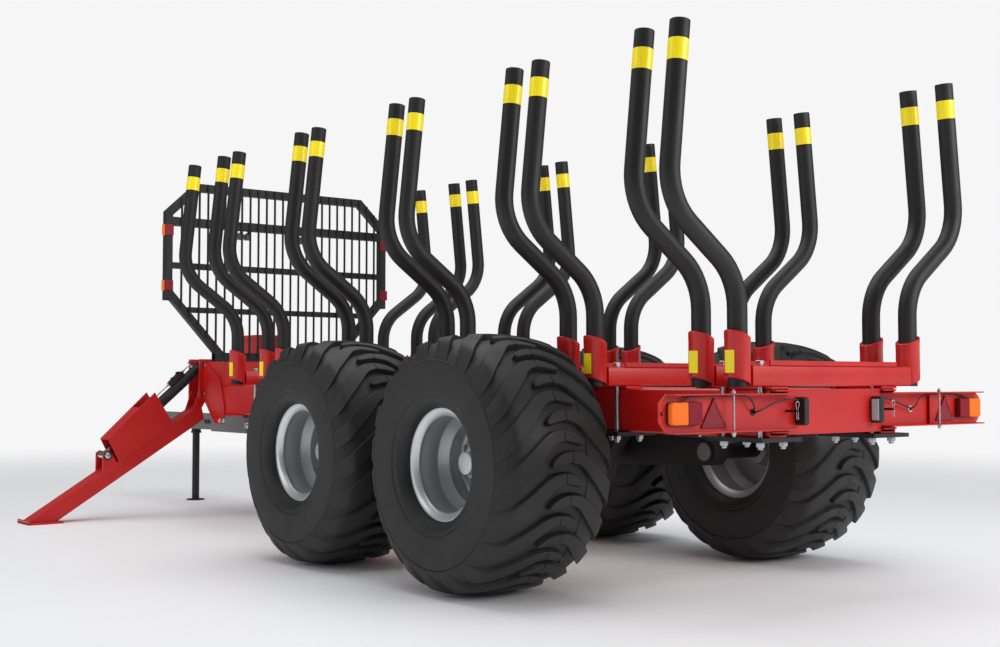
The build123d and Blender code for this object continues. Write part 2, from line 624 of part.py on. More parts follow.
# Gussets beside the beams, below the brackets: (Y from the datum, height)
GUSSET_T = 10.0
GUSSET_FOOT = ((3560.0, 700.0), (3400.0, 700.0), (3400.0, 830.0), (3480.0, BEAM_TOP + 60.0))
with BuildPart() as front_beam:
    with BuildSketch(Plane.XY.offset(BEAM_TOP)):
        with Locations((0, DATUM_Y + (FRONT_BOX_REAR + EAR_REAR) / 2)):
            Rectangle(2 * FRONT_BOX_X, EAR_REAR - EAR_T - FRONT_BOX_REAR)
    extrude(amount=FRONT_BOX_TOP - BEAM_TOP)
    with BuildSketch(Plane.XY.offset(BEAM_TOP)):
        with Locations((0, DATUM_Y + (EAR_REAR - EAR_T + EAR_FRONT + EAR_T) / 2)):
            Rectangle(2 * BRIDGE_X, EAR_FRONT - EAR_REAR + 2 * EAR_T)
    extrude(amount=FRONT_BOX_TOP - BEAM_TOP)
    for plate_y in (EAR_REAR - EAR_T, EAR_FRONT):
        for _, side in SIDES:
            with BuildSketch(Plane.XZ.offset(-(DATUM_Y + plate_y))):
                with BuildLine():
                    Polyline(
                        (side * BRACKET_ROOT, BEAM_TOP),
                        (side * BRACKET_IN, BRACKET_LOW),
                        (side * BRACKET_OUT, BRACKET_LOW),
                        (side * BRACKET_OUT, BRACKET_HIGH),
                        (side * BRACKET_IN, BRACKET_HIGH),
                        (side * BRACKET_ROOT, FRONT_BOX_TOP),
                        close=True,
                    )
                make_face()
            extrude(amount=-EAR_T)
    for _, side in SIDES:
        with BuildSketch(Plane.YZ.offset(side * (BEAM_X + BEAM_W / 2 + 1))):
            with BuildLine():
                Polyline(
                    (DATUM_Y + EAR_REAR - EAR_T, BRACKET_HIGH - 20),
                    (DATUM_Y + EAR_REAR - EAR_T, BRACKET_LOW),
                    *[(DATUM_Y + y, z) for y, z in GUSSET_FOOT],
                    close=True,
                )
            make_face()
        extrude(amount=side * GUSSET_T)
    for pin in (LEG_PIVOT, RAM_TOP):
        with BuildSketch(Plane.XZ.offset(-(DATUM_Y + EAR_REAR))):
            with Locations(*[(side * pin[0], pin[1]) for _, side in SIDES]):
                Circle(PIN_R)
        extrude(amount=-(EAR_FRONT - EAR_REAR))
save(front_beam, "front_beam")

# Crane seat: a pedestal with a drilled top plate
SEAT_Y = 3640.0
SEAT_HALF = 147.0
SEAT_TOP = 1385.0
SEAT_PLATE_T = 25.0
SEAT_BOLT_SPACING = 220.0
SEAT_BOLT_R = 11.0
SEAT_COLUMN = 254.0
with BuildPart() as crane_seat:
    with BuildSketch(Plane.XY.offset(FRONT_BOX_TOP)):
        with Locations((0, DATUM_Y + SEAT_Y)):
            Rectangle(SEAT_COLUMN, SEAT_COLUMN)
    extrude(amount=SEAT_TOP - SEAT_PLATE_T - FRONT_BOX_TOP)
    with BuildSketch(Plane.XY.offset(SEAT_TOP - SEAT_PLATE_T)):
        with Locations((0, DATUM_Y + SEAT_Y)):
            Rectangle(2 * SEAT_HALF, 2 * SEAT_HALF)
    extrude(amount=SEAT_PLATE_T)
    with BuildSketch(Plane.XY.offset(SEAT_TOP)):
        with Locations((0, DATUM_Y + SEAT_Y)):
            with GridLocations(SEAT_BOLT_SPACING, SEAT_BOLT_SPACING, 2, 2):
                Circle(SEAT_BOLT_R)
    extrude(amount=-2 * SEAT_PLATE_T, mode=Mode.SUBTRACT)
save(crane_seat, "crane_seat")

# Headboard: a bent tube frame with cross bars and upright rods
BOARD_BARS = ((2207.0, 60.0), (1880.0, 42.0), (1554.0, 42.0))
BOARD_HALF = BOARD_TUBE / 2
BOARD_OUTLINE = (
    (BOARD_FOOT_X, BOARD_FOOT_Z),
    (BOARD_POST_X, BOARD_POST_LOW),
    (BOARD_POST_X, BOARD_POST_HIGH),
    (BOARD_TOP_X, BOARD_TOP_Z),
)
with BuildPart() as headboard:
    with BuildSketch(Plane.XZ.offset(-(DATUM_Y + BOARD_Y - BOARD_HALF))) as board_face:
        with BuildLine():
            Polyline(
                *BOARD_OUTLINE,
                *[(-x, z) for x, z in reversed(BOARD_OUTLINE)],
                close=True,
            )
        make_face()
        offset(amount=BOARD_HALF, kind=Kind.INTERSECTION)
        offset(amount=-BOARD_TUBE, kind=Kind.INTERSECTION, mode=Mode.SUBTRACT)
        for bar_z, bar_h in BOARD_BARS:
            reach = BOARD_POST_X if bar_z > BOARD_POST_LOW else BOARD_FOOT_X + (
                bar_z - BOARD_FOOT_Z
            ) * (BOARD_POST_X - BOARD_FOOT_X) / (BOARD_POST_LOW - BOARD_FOOT_Z)
            with Locations((0, bar_z)):
                Rectangle(2 * reach, bar_h)
    extrude(amount=-BOARD_TUBE)
save(headboard, "headboard")

# Upright rods of the headboard, each reaching from tube to tube
with BuildPart() as headboard_rods:
    for index in range(BOARD_ROD_COUNT):
        rod_x = (index - (BOARD_ROD_COUNT - 1) / 2) * BOARD_ROD_PITCH
        over_foot = max(abs(rod_x) - BOARD_FOOT_X, 0) * (BOARD_POST_LOW - BOARD_FOOT_Z)
        low = BOARD_FOOT_Z + over_foot / (BOARD_POST_X - BOARD_FOOT_X)
        over_top = max(abs(rod_x) - BOARD_TOP_X, 0) * (BOARD_TOP_Z - BOARD_POST_HIGH)
        high = BOARD_TOP_Z - over_top / (BOARD_POST_X - BOARD_TOP_X)
        with BuildSketch(Plane.XY.offset(low)):
            with Locations((rod_x, DATUM_Y + BOARD_Y + BOARD_HALF + BOARD_ROD_R * cos(pi / 4))):
                RegularPolygon(BOARD_ROD_R, 4, rotation=45)
        extrude(amount=high - low)
save(headboard_rods, "headboard_rods")

# Marker lamps on the headboard's posts
MARKER_HEIGHTS = (2140.0, 1727.0)
MARKER_T, MARKER_W, MARKER_H = 22.0, 44.0, 84.0
with BuildPart() as headboard_lamps:
    for _, side in SIDES:
        for lamp_z in MARKER_HEIGHTS:
            with Locations((side * (BOARD_POST_X + BOARD_HALF + MARKER_T / 2), DATUM_Y + BOARD_Y, lamp_z)):
                Box(MARKER_T, MARKER_W, MARKER_H)
save(headboard_lamps, "headboard_lamps")

# Stabiliser legs, in their working place with the feet on the floor
leg_down = Vector(cos(radians(LEG_SLOPE)), -sin(radians(LEG_SLOPE)))
leg_up = Vector(sin(radians(LEG_SLOPE)), cos(radians(LEG_SLOPE)))


def on_leg(along, above):
    """A place in the leg's own plane, from its pivot, as (distance from the centre plane, height)."""
    spot = Vector(*LEG_PIVOT) + leg_down * along + leg_up * above
    return (spot.X, spot.Y)


def corners_on_leg(side, rows):
    """The corners of an outline whose rows are places in the leg's own plane."""
    return [(side * on_leg(*row)[0], on_leg(*row)[1]) for row in rows]


FOOT_PIN_ALONG = (Vector(*RAM_FOOT) - Vector(*LEG_PIVOT)).dot(leg_down)
FOOT_PIN_ABOVE = (Vector(*RAM_FOOT) - Vector(*LEG_PIVOT)).dot(leg_up)
LEG_REAR = LEG_Y - LEG_W / 2
# Outlines in the leg's own plane: (distance along the leg from its pivot, height above the pivot's line)
PIVOT_EAR = ((-30, 20), (30, 40), (150, -LEG_DROP), (150, -LEG_DROP - 20), (90, -LEG_DROP - 30), (-38, -20))
ROD_EAR = (
    (FOOT_PIN_ALONG - 32, -LEG_DROP),
    (FOOT_PIN_ALONG - 32, FOOT_PIN_ABOVE + 10),
    (FOOT_PIN_ALONG - 12, FOOT_PIN_ABOVE + 34),
    (FOOT_PIN_ALONG + 22, FOOT_PIN_ABOVE + 34),
    (FOOT_PIN_ALONG + 95, -LEG_DROP),
)
GUARD_SIDE = ((342, 229), (500, 197), (832, 129), (850, -LEG_DROP), (342, -LEG_DROP))
GUARD_T = 6.0
GUARD_LID = ((500, 197), (832, 129), (831, 129 - GUARD_T), (499, 197 - GUARD_T))
LEG_HEEL = (70, 110)  # how far along the leg its upper and its lower face begin
for word, side in SIDES:
    with BuildPart() as leg:
        with BuildSketch(Plane.XZ.offset(-(DATUM_Y + LEG_REAR))):
            with BuildLine():
                near = on_leg(LEG_HEEL[0], -LEG_DROP)
                near_low = on_leg(LEG_HEEL[1], -LEG_DROP - LEG_H)
                slope_reach = (near[1] - FOOT_T) / tan(radians(LEG_SLOPE))
                low_reach = (near_low[1] - FOOT_T) / tan(radians(LEG_SLOPE))
                Polyline(
                    (side * near[0], near[1]),
                    (side * (near[0] + slope_reach), FOOT_T),
                    (side * (near_low[0] + low_reach), FOOT_T),
                    (side * near_low[0], near_low[1]),
                    close=True,
                )
            make_face()
        extrude(amount=-LEG_W)
        for ear_y in (LEG_REAR, LEG_REAR + LEG_W - EAR_T):
            with BuildSketch(Plane.XZ.offset(-(DATUM_Y + ear_y))):
                with BuildLine():
                    Polyline(*corners_on_leg(side, PIVOT_EAR), close=True)
                make_face()
                with Locations((side * LEG_PIVOT[0], LEG_PIVOT[1])):
                    RegularPolygon(PIN_R + RUN_GAP, BORE_FLATS, major_radius=False, mode=Mode.SUBTRACT)
            extrude(amount=-EAR_T)
            with BuildSketch(Plane.XZ.offset(-(DATUM_Y + ear_y))):
                with BuildLine():
                    Polyline(*corners_on_leg(side, ROD_EAR), close=True)
                make_face()
            extrude(amount=-EAR_T)
        with BuildSketch(Plane.XY):
            with Locations((side * LEG_FOOT_X, DATUM_Y + LEG_Y)):
                Rectangle(FOOT_SIZE, FOOT_SIZE)
        extrude(amount=FOOT_T)
    save(leg, f"leg_{word}")

    with BuildPart() as guard:
        for plate_y in (LEG_REAR, LEG_REAR + LEG_W - GUARD_T):
            with BuildSketch(Plane.XZ.offset(-(DATUM_Y + plate_y))):
                with BuildLine():
                    Polyline(*corners_on_leg(side, GUARD_SIDE), close=True)
                make_face()
            extrude(amount=-GUARD_T)
        with BuildSketch(Plane.XZ.offset(-(DATUM_Y + LEG_REAR))):
            with BuildLine():
                Polyline(*corners_on_leg(side, GUARD_LID), close=True)
            make_face()
        extrude(amount=-LEG_W)
    save(guard, f"leg_guard_{word}")

# Stabiliser rams: barrel on the front beam's upper pin, rod down to the leg's ears
RAM_LENGTH = hypot(RAM_FOOT[0] - RAM_TOP[0], RAM_FOOT[1] - RAM_TOP[1])
RAM_SLOPE = degrees(atan2(RAM_TOP[1] - RAM_FOOT[1], RAM_FOOT[0] - RAM_TOP[0]))
for word, side in SIDES:
    along = Plane(
        origin=(side * RAM_TOP[0], DATUM_Y + LEG_Y, RAM_TOP[1]),
        x_dir=(0, 1, 0),
        z_dir=(side * cos(radians(RAM_SLOPE)), 0, -sin(radians(RAM_SLOPE))),
    )
    with BuildPart() as barrel:
        with BuildSketch(along.offset(RAM_EYE_R * 0.9)):
            RegularPolygon(BARREL_R, BARREL_FLATS)
        extrude(amount=BARREL_L - RAM_EYE_R * 0.9)
        with BuildSketch(Plane.XZ.offset(-(DATUM_Y + LEG_Y - RAM_EYE_W / 2))):
            with Locations((side * RAM_TOP[0], RAM_TOP[1])):
                RegularPolygon(RAM_EYE_R, BARREL_FLATS)
        extrude(amount=-RAM_EYE_W)
        with BuildSketch(Plane.XZ.offset(-(DATUM_Y + LEG_Y - BARREL_R))):
            with Locations((side * RAM_TOP[0], RAM_TOP[1])):
                RegularPolygon(PIN_R + RUN_GAP, BORE_FLATS, major_radius=False)
        extrude(amount=-2 * BARREL_R, mode=Mode.SUBTRACT)
        with BuildSketch(along.offset(BARREL_L)):
            RegularPolygon(ROD_R + RUN_GAP, BORE_FLATS, major_radius=False)
        extrude(amount=-(BARREL_L - BARREL_END), mode=Mode.SUBTRACT)
    save(barrel, f"ram_barrel_{word}")

    with BuildPart() as ram_rod:
        with BuildSketch(along.offset(BARREL_L - ROD_HIDDEN)):
            Circle(ROD_R)
        extrude(amount=RAM_LENGTH - EYE_R * 0.8 - BARREL_L + ROD_HIDDEN)
        with BuildSketch(Plane.XZ.offset(-(DATUM_Y + LEG_Y - LEG_W / 2 + EAR_T + SWING_GAP))):
            with Locations((side * RAM_FOOT[0], RAM_FOOT[1])):
                RegularPolygon(EYE_R, BARREL_FLATS)
        extrude(amount=-(LEG_W - 2 * EAR_T - 2 * SWING_GAP))
    save(ram_rod, f"ram_rod_{word}")

# Drawbar: a sleeve that steers on the hitch pin, with the drawn bar and its eye
SLEEVE_BACK = 110.0
SLEEVE_WALL = 10.0
STEER_EAR_T = 14.0
STEER_EYE_H = 44.0
with BuildPart() as drawbar_sleeve:
    with BuildSketch(Plane.XZ.offset(-(DATUM_Y + HITCH_Y - SLEEVE_BACK))):
        with Locations((0, (BAR_LOW + BAR_HIGH) / 2)):
            Rectangle(SLEEVE_W, BAR_HIGH - BAR_LOW)
    extrude(amount=-(SLEEVE_FRONT - HITCH_Y + SLEEVE_BACK))
    with BuildSketch(Plane.XZ.offset(-(DATUM_Y + HITCH_Y + SLEEVE_BACK))):
        with Locations((0, (BAR_LOW + BAR_HIGH) / 2)):
            Rectangle(SLEEVE_W - 2 * SLEEVE_WALL, BAR_HIGH - BAR_LOW - 2 * SLEEVE_WALL)
    extrude(amount=-(SLEEVE_FRONT - HITCH_Y - SLEEVE_BACK), mode=Mode.SUBTRACT)
    with BuildSketch(Plane.XY.offset(BAR_LOW)):
        with Locations((0, DATUM_Y + HITCH_Y)):
            RegularPolygon(HITCH_PIN_R + RUN_GAP, BARREL_FLATS, major_radius=False)
    extrude(amount=BAR_HIGH - BAR_LOW, mode=Mode.SUBTRACT)
    for ear_z in (
        STEER_Z - STEER_EYE_H / 2 - SWING_GAP - STEER_EAR_T,
        STEER_Z + STEER_EYE_H / 2 + SWING_GAP,
    ):
        for _, side in SIDES:
            with BuildSketch(Plane.XY.offset(ear_z)):
                with BuildLine():
                    Polyline(
                        (side * SLEEVE_W / 2, DATUM_Y + STEER_EYE[1] - 60),
                        (side * STEER_EYE[0], DATUM_Y + STEER_EYE[1] - 30),
                        (side * (STEER_EYE[0] + 30), DATUM_Y + STEER_EYE[1] + 5),
                        (side * STEER_EYE[0], DATUM_Y + STEER_EYE[1] + 35),
                        (side * SLEEVE_W / 2, DATUM_Y + STEER_EYE[1] + 130),
                        close=True,
                    )
                make_face()
            extrude(amount=STEER_EAR_T)
save(drawbar_sleeve, "drawbar_sleeve")

BAR_BACK = 3700.0
EYE_NECK = 180.0
BAR_H = BAR_HIGH - BAR_LOW - 2 * SLEEVE_WALL
with BuildPart() as drawbar:
    with BuildSketch(Plane.XZ.offset(-(DATUM_Y + BAR_BACK))):
        with Locations((0, (BAR_LOW + BAR_HIGH) / 2)):
            Rectangle(BAR_W, BAR_H - 2 * RUN_GAP)
    extrude(amount=-(EYE_Y - EYE_NECK - BAR_BACK))
    with BuildSketch(Plane.XY.offset((BAR_LOW + BAR_HIGH) / 2 - EYE_T / 2)):
        with BuildLine():
            Polyline(
                (-BAR_W / 2, DATUM_Y + EYE_Y - EYE_NECK),
                (-EYE_OUT_R, DATUM_Y + EYE_Y),
                (EYE_OUT_R, DATUM_Y + EYE_Y),
                (BAR_W / 2, DATUM_Y + EYE_Y - EYE_NECK),
                close=True,
            )
        make_face()
        with Locations((0, DATUM_Y + EYE_Y)):
            RegularPolygon(EYE_OUT_R, EYE_FLATS)
            Circle(EYE_BORE_R, mode=Mode.SUBTRACT)
    extrude(amount=EYE_T)
    with BuildSketch(Plane.XY.offset(BAR_LOW)):
        with Locations((0, DATUM_Y + JACK_Y)):
            RegularPolygon(JACK_SLEEVE_R + RUN_GAP, BARREL_FLATS, major_radius=False)
    extrude(amount=BAR_HIGH - BAR_LOW, mode=Mode.SUBTRACT)
save(drawbar, "drawbar")

# Parking jack: a sleeve through the drawbar and the leg that slides in it
JACK_SLEEVE_LOW = 590.0
JACK_SLEEVE_HIGH = 830.0
with BuildPart() as jack_sleeve:
    with BuildSketch(Plane.XY.offset(JACK_SLEEVE_LOW)):
        with Locations((0, DATUM_Y + JACK_Y)):
            RegularPolygon(JACK_SLEEVE_R, BARREL_FLATS, major_radius=False)
            RegularPolygon(JACK_R + RUN_GAP, BARREL_FLATS, major_radius=False, mode=Mode.SUBTRACT)
    extrude(amount=JACK_SLEEVE_HIGH - JACK_SLEEVE_LOW)
save(jack_sleeve, "jack_sleeve")

with BuildPart() as jack_leg:
    with BuildSketch(Plane.XY):
        with Locations((0, DATUM_Y + JACK_Y)):
            RegularPolygon(JACK_FOOT_R, EYE_FLATS)
    extrude(amount=JACK_FOOT_T)
    with BuildSketch(Plane.XY):
        with Locations((0, DATUM_Y + JACK_Y)):
            Circle(JACK_R)
    extrude(amount=JACK_TOP)
save(jack_leg, "jack_leg")

# Steering rams under the beams, each from a frame pin to the sleeve's ears
STEER_LENGTH = hypot(STEER_EYE[0] - STEER_BASE[0], STEER_EYE[1] - STEER_BASE[1])
STEER_HEADING = atan2(STEER_EYE[0] - STEER_BASE[0], STEER_EYE[1] - STEER_BASE[1])
for word, side in SIDES:
    along = Plane(
        origin=(side * STEER_BASE[0], DATUM_Y + STEER_BASE[1], STEER_Z),
        x_dir=(0, 0, 1),
        z_dir=(side * sin(STEER_HEADING), cos(STEER_HEADING), 0),
    )
    with BuildPart() as steer_barrel:
        with BuildSketch(along.offset(STEER_EYE_R * 0.9)):
            RegularPolygon(STEER_BARREL_R, BARREL_FLATS)
        extrude(amount=STEER_BARREL_L - STEER_EYE_R * 0.9)
        with BuildSketch(Plane.XY.offset(STEER_Z - STEER_EYE_H / 2)):
            with Locations((side * STEER_BASE[0], DATUM_Y + STEER_BASE[1])):
                RegularPolygon(STEER_EYE_R, BARREL_FLATS)
        extrude(amount=STEER_EYE_H)
        with BuildSketch(Plane.XY.offset(STEER_Z - STEER_EYE_H)):
            with Locations((side * STEER_BASE[0], DATUM_Y + STEER_BASE[1])):
                RegularPolygon(STEER_PIN_R + RUN_GAP, BORE_FLATS, major_radius=False)
        extrude(amount=2 * STEER_EYE_H, mode=Mode.SUBTRACT)
        with BuildSketch(along.offset(STEER_BARREL_L)):
            RegularPolygon(STEER_ROD_R + RUN_GAP, BORE_FLATS, major_radius=False)
        extrude(amount=-(STEER_BARREL_L - BARREL_END), mode=Mode.SUBTRACT)
    save(steer_barrel, f"steer_barrel_{word}")

    with BuildPart() as steer_rod:
        with BuildSketch(along.offset(STEER_BARREL_L - STEER_ROD_HIDDEN)):
            Circle(STEER_ROD_R)
        extrude(amount=STEER_LENGTH - STEER_ROD_R - STEER_BARREL_L + STEER_ROD_HIDDEN)
        with BuildSketch(Plane.XY.offset(STEER_Z - STEER_EYE_H / 2)):
            with Locations((side * STEER_EYE[0], DATUM_Y + STEER_EYE[1])):
                RegularPolygon(STEER_ROD_EYE_R, BARREL_FLATS)
        extrude(amount=STEER_EYE_H)
    save(steer_rod, f"steer_rod_{word}")
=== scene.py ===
"""Finishes and fine pieces of a forestry trailer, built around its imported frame.

Metres. X is to the trailer's right, Y is forward and Z is up from the floor.
"""
import json
from math import cos, degrees, pi, radians, sin, tan

import bmesh
import bpy
from mathutils import Matrix, Vector


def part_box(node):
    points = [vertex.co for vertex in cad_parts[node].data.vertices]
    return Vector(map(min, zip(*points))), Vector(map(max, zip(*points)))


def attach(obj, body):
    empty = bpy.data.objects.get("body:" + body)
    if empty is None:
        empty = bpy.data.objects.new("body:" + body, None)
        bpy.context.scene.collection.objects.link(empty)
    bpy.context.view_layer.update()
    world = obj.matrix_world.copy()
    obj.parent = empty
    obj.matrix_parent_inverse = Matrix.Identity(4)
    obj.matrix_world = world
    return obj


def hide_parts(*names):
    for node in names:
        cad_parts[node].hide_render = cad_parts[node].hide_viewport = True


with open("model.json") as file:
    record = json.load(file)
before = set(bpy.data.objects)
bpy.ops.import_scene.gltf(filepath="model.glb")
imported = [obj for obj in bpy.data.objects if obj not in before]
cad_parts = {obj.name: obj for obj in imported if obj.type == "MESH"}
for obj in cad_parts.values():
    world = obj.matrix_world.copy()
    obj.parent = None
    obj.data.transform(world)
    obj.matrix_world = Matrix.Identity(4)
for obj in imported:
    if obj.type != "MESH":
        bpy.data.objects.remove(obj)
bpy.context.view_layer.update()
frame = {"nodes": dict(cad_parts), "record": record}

NODES = frame["nodes"]
MM = 0.001
SIDES = (("left", -1), ("right", 1))
ENDS = (("front", 1), ("rear", -1))

bl_info = {
    "name": "Forestry Trailer Finish",
    "version": (1, 0, 0),
    "blender": (4, 5, 0),
    "location": "3D View > Sidebar > Trailer",
    "description": "Adds the finishes and the fine pieces of a forestry trailer to its plain frame",
    "category": "Object",
}

# Places that come from the frame
EYE_FRONT = 5867.5 * MM  # front of the drawbar's eye, counted from the datum
DATUM_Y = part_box("drawbar")[1].y - EYE_FRONT
STAKE_R = 44.45 * MM
BUNK_COUNT = 6


def tube_places(number):
    """Y of each cross tube of a bunk, from the box of its stakes."""
    low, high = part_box(f"stakes_{number}")
    first, last = low.y + STAKE_R, high.y - STAKE_R
    return (first, last) if last - first > STAKE_R else ((first + last) / 2,)


def linear(code):
    """A linear colour with alpha from an sRGB hex code."""
    parts = [int(code[place : place + 2], 16) / 255 for place in (1, 3, 5)]
    return [p / 12.92 if p <= 0.04045 else ((p + 0.055) / 1.055) ** 2.4 for p in parts] + [1.0]


# Settings that a user would change
def length(name, description, default_mm):
    """A setting that is a length, with its default in millimetres."""
    return bpy.props.FloatProperty(
        name=name, description=description, default=default_mm * MM, unit="LENGTH", subtype="DISTANCE"
    )


def colour(name, description, code):
    """A setting that is a colour, with its default as an sRGB hex code."""
    return bpy.props.FloatVectorProperty(
        name=name, description=description, default=linear(code), size=4, min=0, max=1, subtype="COLOR"
    )


class PaintSettings(bpy.types.PropertyGroup):
    red: colour("Red", "Enamel of the frame, bunks, legs and light channels", "#BE100C")
    black: colour("Black", "Powder coat of the stakes, headboard and rams", "#131314")
    grey: colour("Grey", "Enamel of the drawbar", "#606163")
    silver: colour("Silver", "Enamel of the wheels", "#D2D3D5")
    rubber: colour("Rubber", "Tyres", "#1A1A1A")
    yellow: colour("Yellow", "Reflective bands and patches", "#FFE708")
    amber: colour("Amber", "Outer part of the tail lamps and the headboard's markers", "#FF7410")
    lens_red: colour("Lens red", "Inner part of the tail lamps and the triangles", "#86001A")
    floor: colour("Floor", "Studio floor", "#FAFAFB")


class TyreSettings(bpy.types.PropertyGroup):
    lug_count: bpy.props.IntProperty(
        name="Lugs on a side", description="Lugs along one shoulder of a tyre", default=20, min=8, max=40
    )
    groove: length("Groove depth", "Depth of the tread's grooves at the middle", 27)
    lug_edge: length("Lug edge", "Chamfer along the lugs' upper edges", 3.5)
    lug_draft: length("Lug draft", "How far a lug's foot stands out from its top", 6)


class StakeSettings(bpy.types.PropertyGroup):
    radius: length("Tube radius", "Outer radius of a stake", 44.45)
    bend: length("Bend radius", "Radius of a stake's bends on its centre line", 265)
    band_drop: length("Band drop", "From the stake's top to its yellow band", 86)
    band_height: length("Band height", "Height of the yellow band", 93)


class BunkSettings(bpy.types.PropertyGroup):
    socket_radius: length("Socket radius", "Outer radius of a stake socket", 57)
    collar: length("Collar height", "Height of the collar round a socket's mouth", 30)
    patch_height: length("Patch height", "Height of the yellow patch on a socket", 98)
    patch_width: length("Patch width", "Width of the yellow patch on a socket", 54)


class BoltSettings(bpy.types.PropertyGroup):
    across_flats: length("Nut", "Clamp nuts, across their flats", 36)
    shank: length("Shank", "Diameter of the clamp bolts", 24)


# Materials
def add(tree, kind, links=None, **settings):
    """Adds a node, makes its settings, and fills or links its sockets."""
    made = tree.nodes.new(kind)
    for key, value in settings.items():
        setattr(made, key, value)
    for key, value in (links or {}).items():
        if isinstance(value, bpy.types.NodeSocket):
            tree.links.new(value, made.inputs[key])
        else:
            made.inputs[key].default_value = value
    return made


def per(size_mm):
    """Pattern scale that gives features of this size in millimetres."""
    return 1000.0 / size_mm


def start(name):
    """An empty node material, with its tree and its object coordinates."""
    made = bpy.data.materials.new(name)
    made.use_nodes = True
    tree = made.node_tree
    tree.nodes.clear()
    return made, tree, add(tree, "ShaderNodeTexCoord").outputs["Object"]


def finish_with(tree, shader):
    """Gives the material this surface."""
    add(tree, "ShaderNodeOutputMaterial", {"Surface": shader.outputs[0]})


def shade_between(tree, amount, low, high):
    """A colour between two fixed ones, by a pattern's value."""
    ramp = add(tree, "ShaderNodeValToRGB", {"Fac": amount})
    ramp.color_ramp.elements[0].position = 0.3
    ramp.color_ramp.elements[1].position = 0.7
    ramp.color_ramp.elements[0].color = low
    ramp.color_ramp.elements[1].color = high
    return ramp.outputs["Color"]


def dim(tone, share):
    """The same tone with this share of its brightness."""
    return [tone[0] * share, tone[1] * share, tone[2] * share, 1.0]


def level_between(tree, amount, low, high):
    """A number between two fixed ones, by a pattern's value."""
    levels = {"Value": amount, "From Min": 0.3, "From Max": 0.7, "To Min": low, "To Max": high}
    return add(tree, "ShaderNodeMapRange", levels).outputs["Result"]


def painted_steel(name, tone, sheen, peel_mm, peel_depth_mm, edge_mm, gloss, metallic=0.0):
    """Paint on steel: cloudy on a hand's scale, with a fine peel, and edges rounded by the coat."""
    made, tree, place = start(name)
    cloud = add(tree, "ShaderNodeTexNoise", {"Vector": place, "Scale": per(260), "Detail": 4.0})
    peel = add(tree, "ShaderNodeTexNoise", {"Vector": place, "Scale": per(peel_mm), "Detail": 2.0})
    soft_edge = add(tree, "ShaderNodeBevel", {"Radius": edge_mm * MM}, samples=4)
    bump = add(
        tree,
        "ShaderNodeBump",
        {
            "Height": peel.outputs[0],
            "Distance": peel_depth_mm * MM,
            "Strength": 0.35,
            "Normal": soft_edge.outputs[0],
        },
    )
    shader = add(
        tree,
        "ShaderNodeBsdfPrincipled",
        {
            "Base Color": shade_between(tree, cloud.outputs[0], dim(tone, 0.92), dim(tone, 1.04)),
            "Roughness": level_between(tree, cloud.outputs[0], sheen - 0.04, sheen + 0.05),
            "Metallic": metallic,
            "Coat Weight": gloss,
            "Coat Roughness": 0.12,
            "Normal": bump.outputs[0],
        },
    )
    finish_with(tree, shader)
    return made


def red_enamel(paint):
    # Two-pack enamel sprayed on welded plate: a clear gloss over deep red, with a slight orange peel.
    return painted_steel("red_enamel_sprayed", paint.red, 0.4, 7, 0.2, 3.0, 0.12)


def black_powder_coat(paint):
    # Powder coat baked on tube: satin, with a fine grain, so highlights are long and soft.
    return painted_steel("black_powder_coat", paint.black, 0.55, 3, 0.02, 2.0, 0.0)


def grey_enamel(paint):
    # Primer-grey enamel brushed on heavy box tube: duller, with a coarser peel.
    return painted_steel("grey_enamel_brushed", paint.grey, 0.45, 9, 0.3, 3.0, 0.1)


def silver_enamel(paint):
    # Aluminium-flake enamel on pressed wheels: metallic but cloudy, brighter where it faces the light.
    return painted_steel("silver_flake_enamel", paint.silver, 0.36, 5, 0.12, 1.5, 0.25, metallic=0.7)


def moulded_rubber(paint):
    # Carbon-black rubber out of a steel mould: matt, slightly greyer where it was released.
    made, tree, place = start("tyre_rubber_moulded")
    cloud = add(tree, "ShaderNodeTexNoise", {"Vector": place, "Scale": per(120), "Detail": 5.0})
    skin = add(tree, "ShaderNodeTexNoise", {"Vector": place, "Scale": per(4), "Detail": 3.0})
    bump = add(tree, "ShaderNodeBump", {"Height": skin.outputs[0], "Distance": 0.4 * MM, "Strength": 0.4})
    dark, light = dim(paint.rubber, 0.8), dim(paint.rubber, 1.15)
    shader = add(
        tree,
        "ShaderNodeBsdfPrincipled",
        {
            "Base Color": shade_between(tree, cloud.outputs[0], dark, light),
            "Roughness": level_between(tree, cloud.outputs[0], 0.52, 0.66),
            "IOR": 1.52,
            "Normal": bump.outputs[0],
        },
    )
    finish_with(tree, shader)
    return made


def plated_steel(name, tone, rough_low, rough_high, grain_mm):
    """Bare plating on steel: metal, cloudy in its roughness."""
    made, tree, place = start(name)
    cloud = add(tree, "ShaderNodeTexNoise", {"Vector": place, "Scale": per(grain_mm), "Detail": 3.0})
    shader = add(
        tree,
        "ShaderNodeBsdfPrincipled",
        {
            "Base Color": shade_between(tree, cloud.outputs[0], dim(tone, 0.85), tone),
            "Roughness": level_between(tree, cloud.outputs[0], rough_low, rough_high),
            "Metallic": 1.0,
            "Normal": add(tree, "ShaderNodeBevel", {"Radius": 1.0 * MM}, samples=4).outputs[0],
        },
    )
    finish_with(tree, shader)
    return made


def zinc_plate(paint):
    # Bright zinc on bolts and pins: pale and a little blue, dulled in patches a few millimetres wide.
    return plated_steel("zinc_plated_steel", linear("#C6CACF"), 0.25, 0.42, 9)


def hard_chrome(paint):
    # Ground hard chrome on ram rods: a clean mirror with hardly any cloud.
    return plated_steel("hard_chrome_ground", linear("#D8DADC"), 0.12, 0.2, 40)


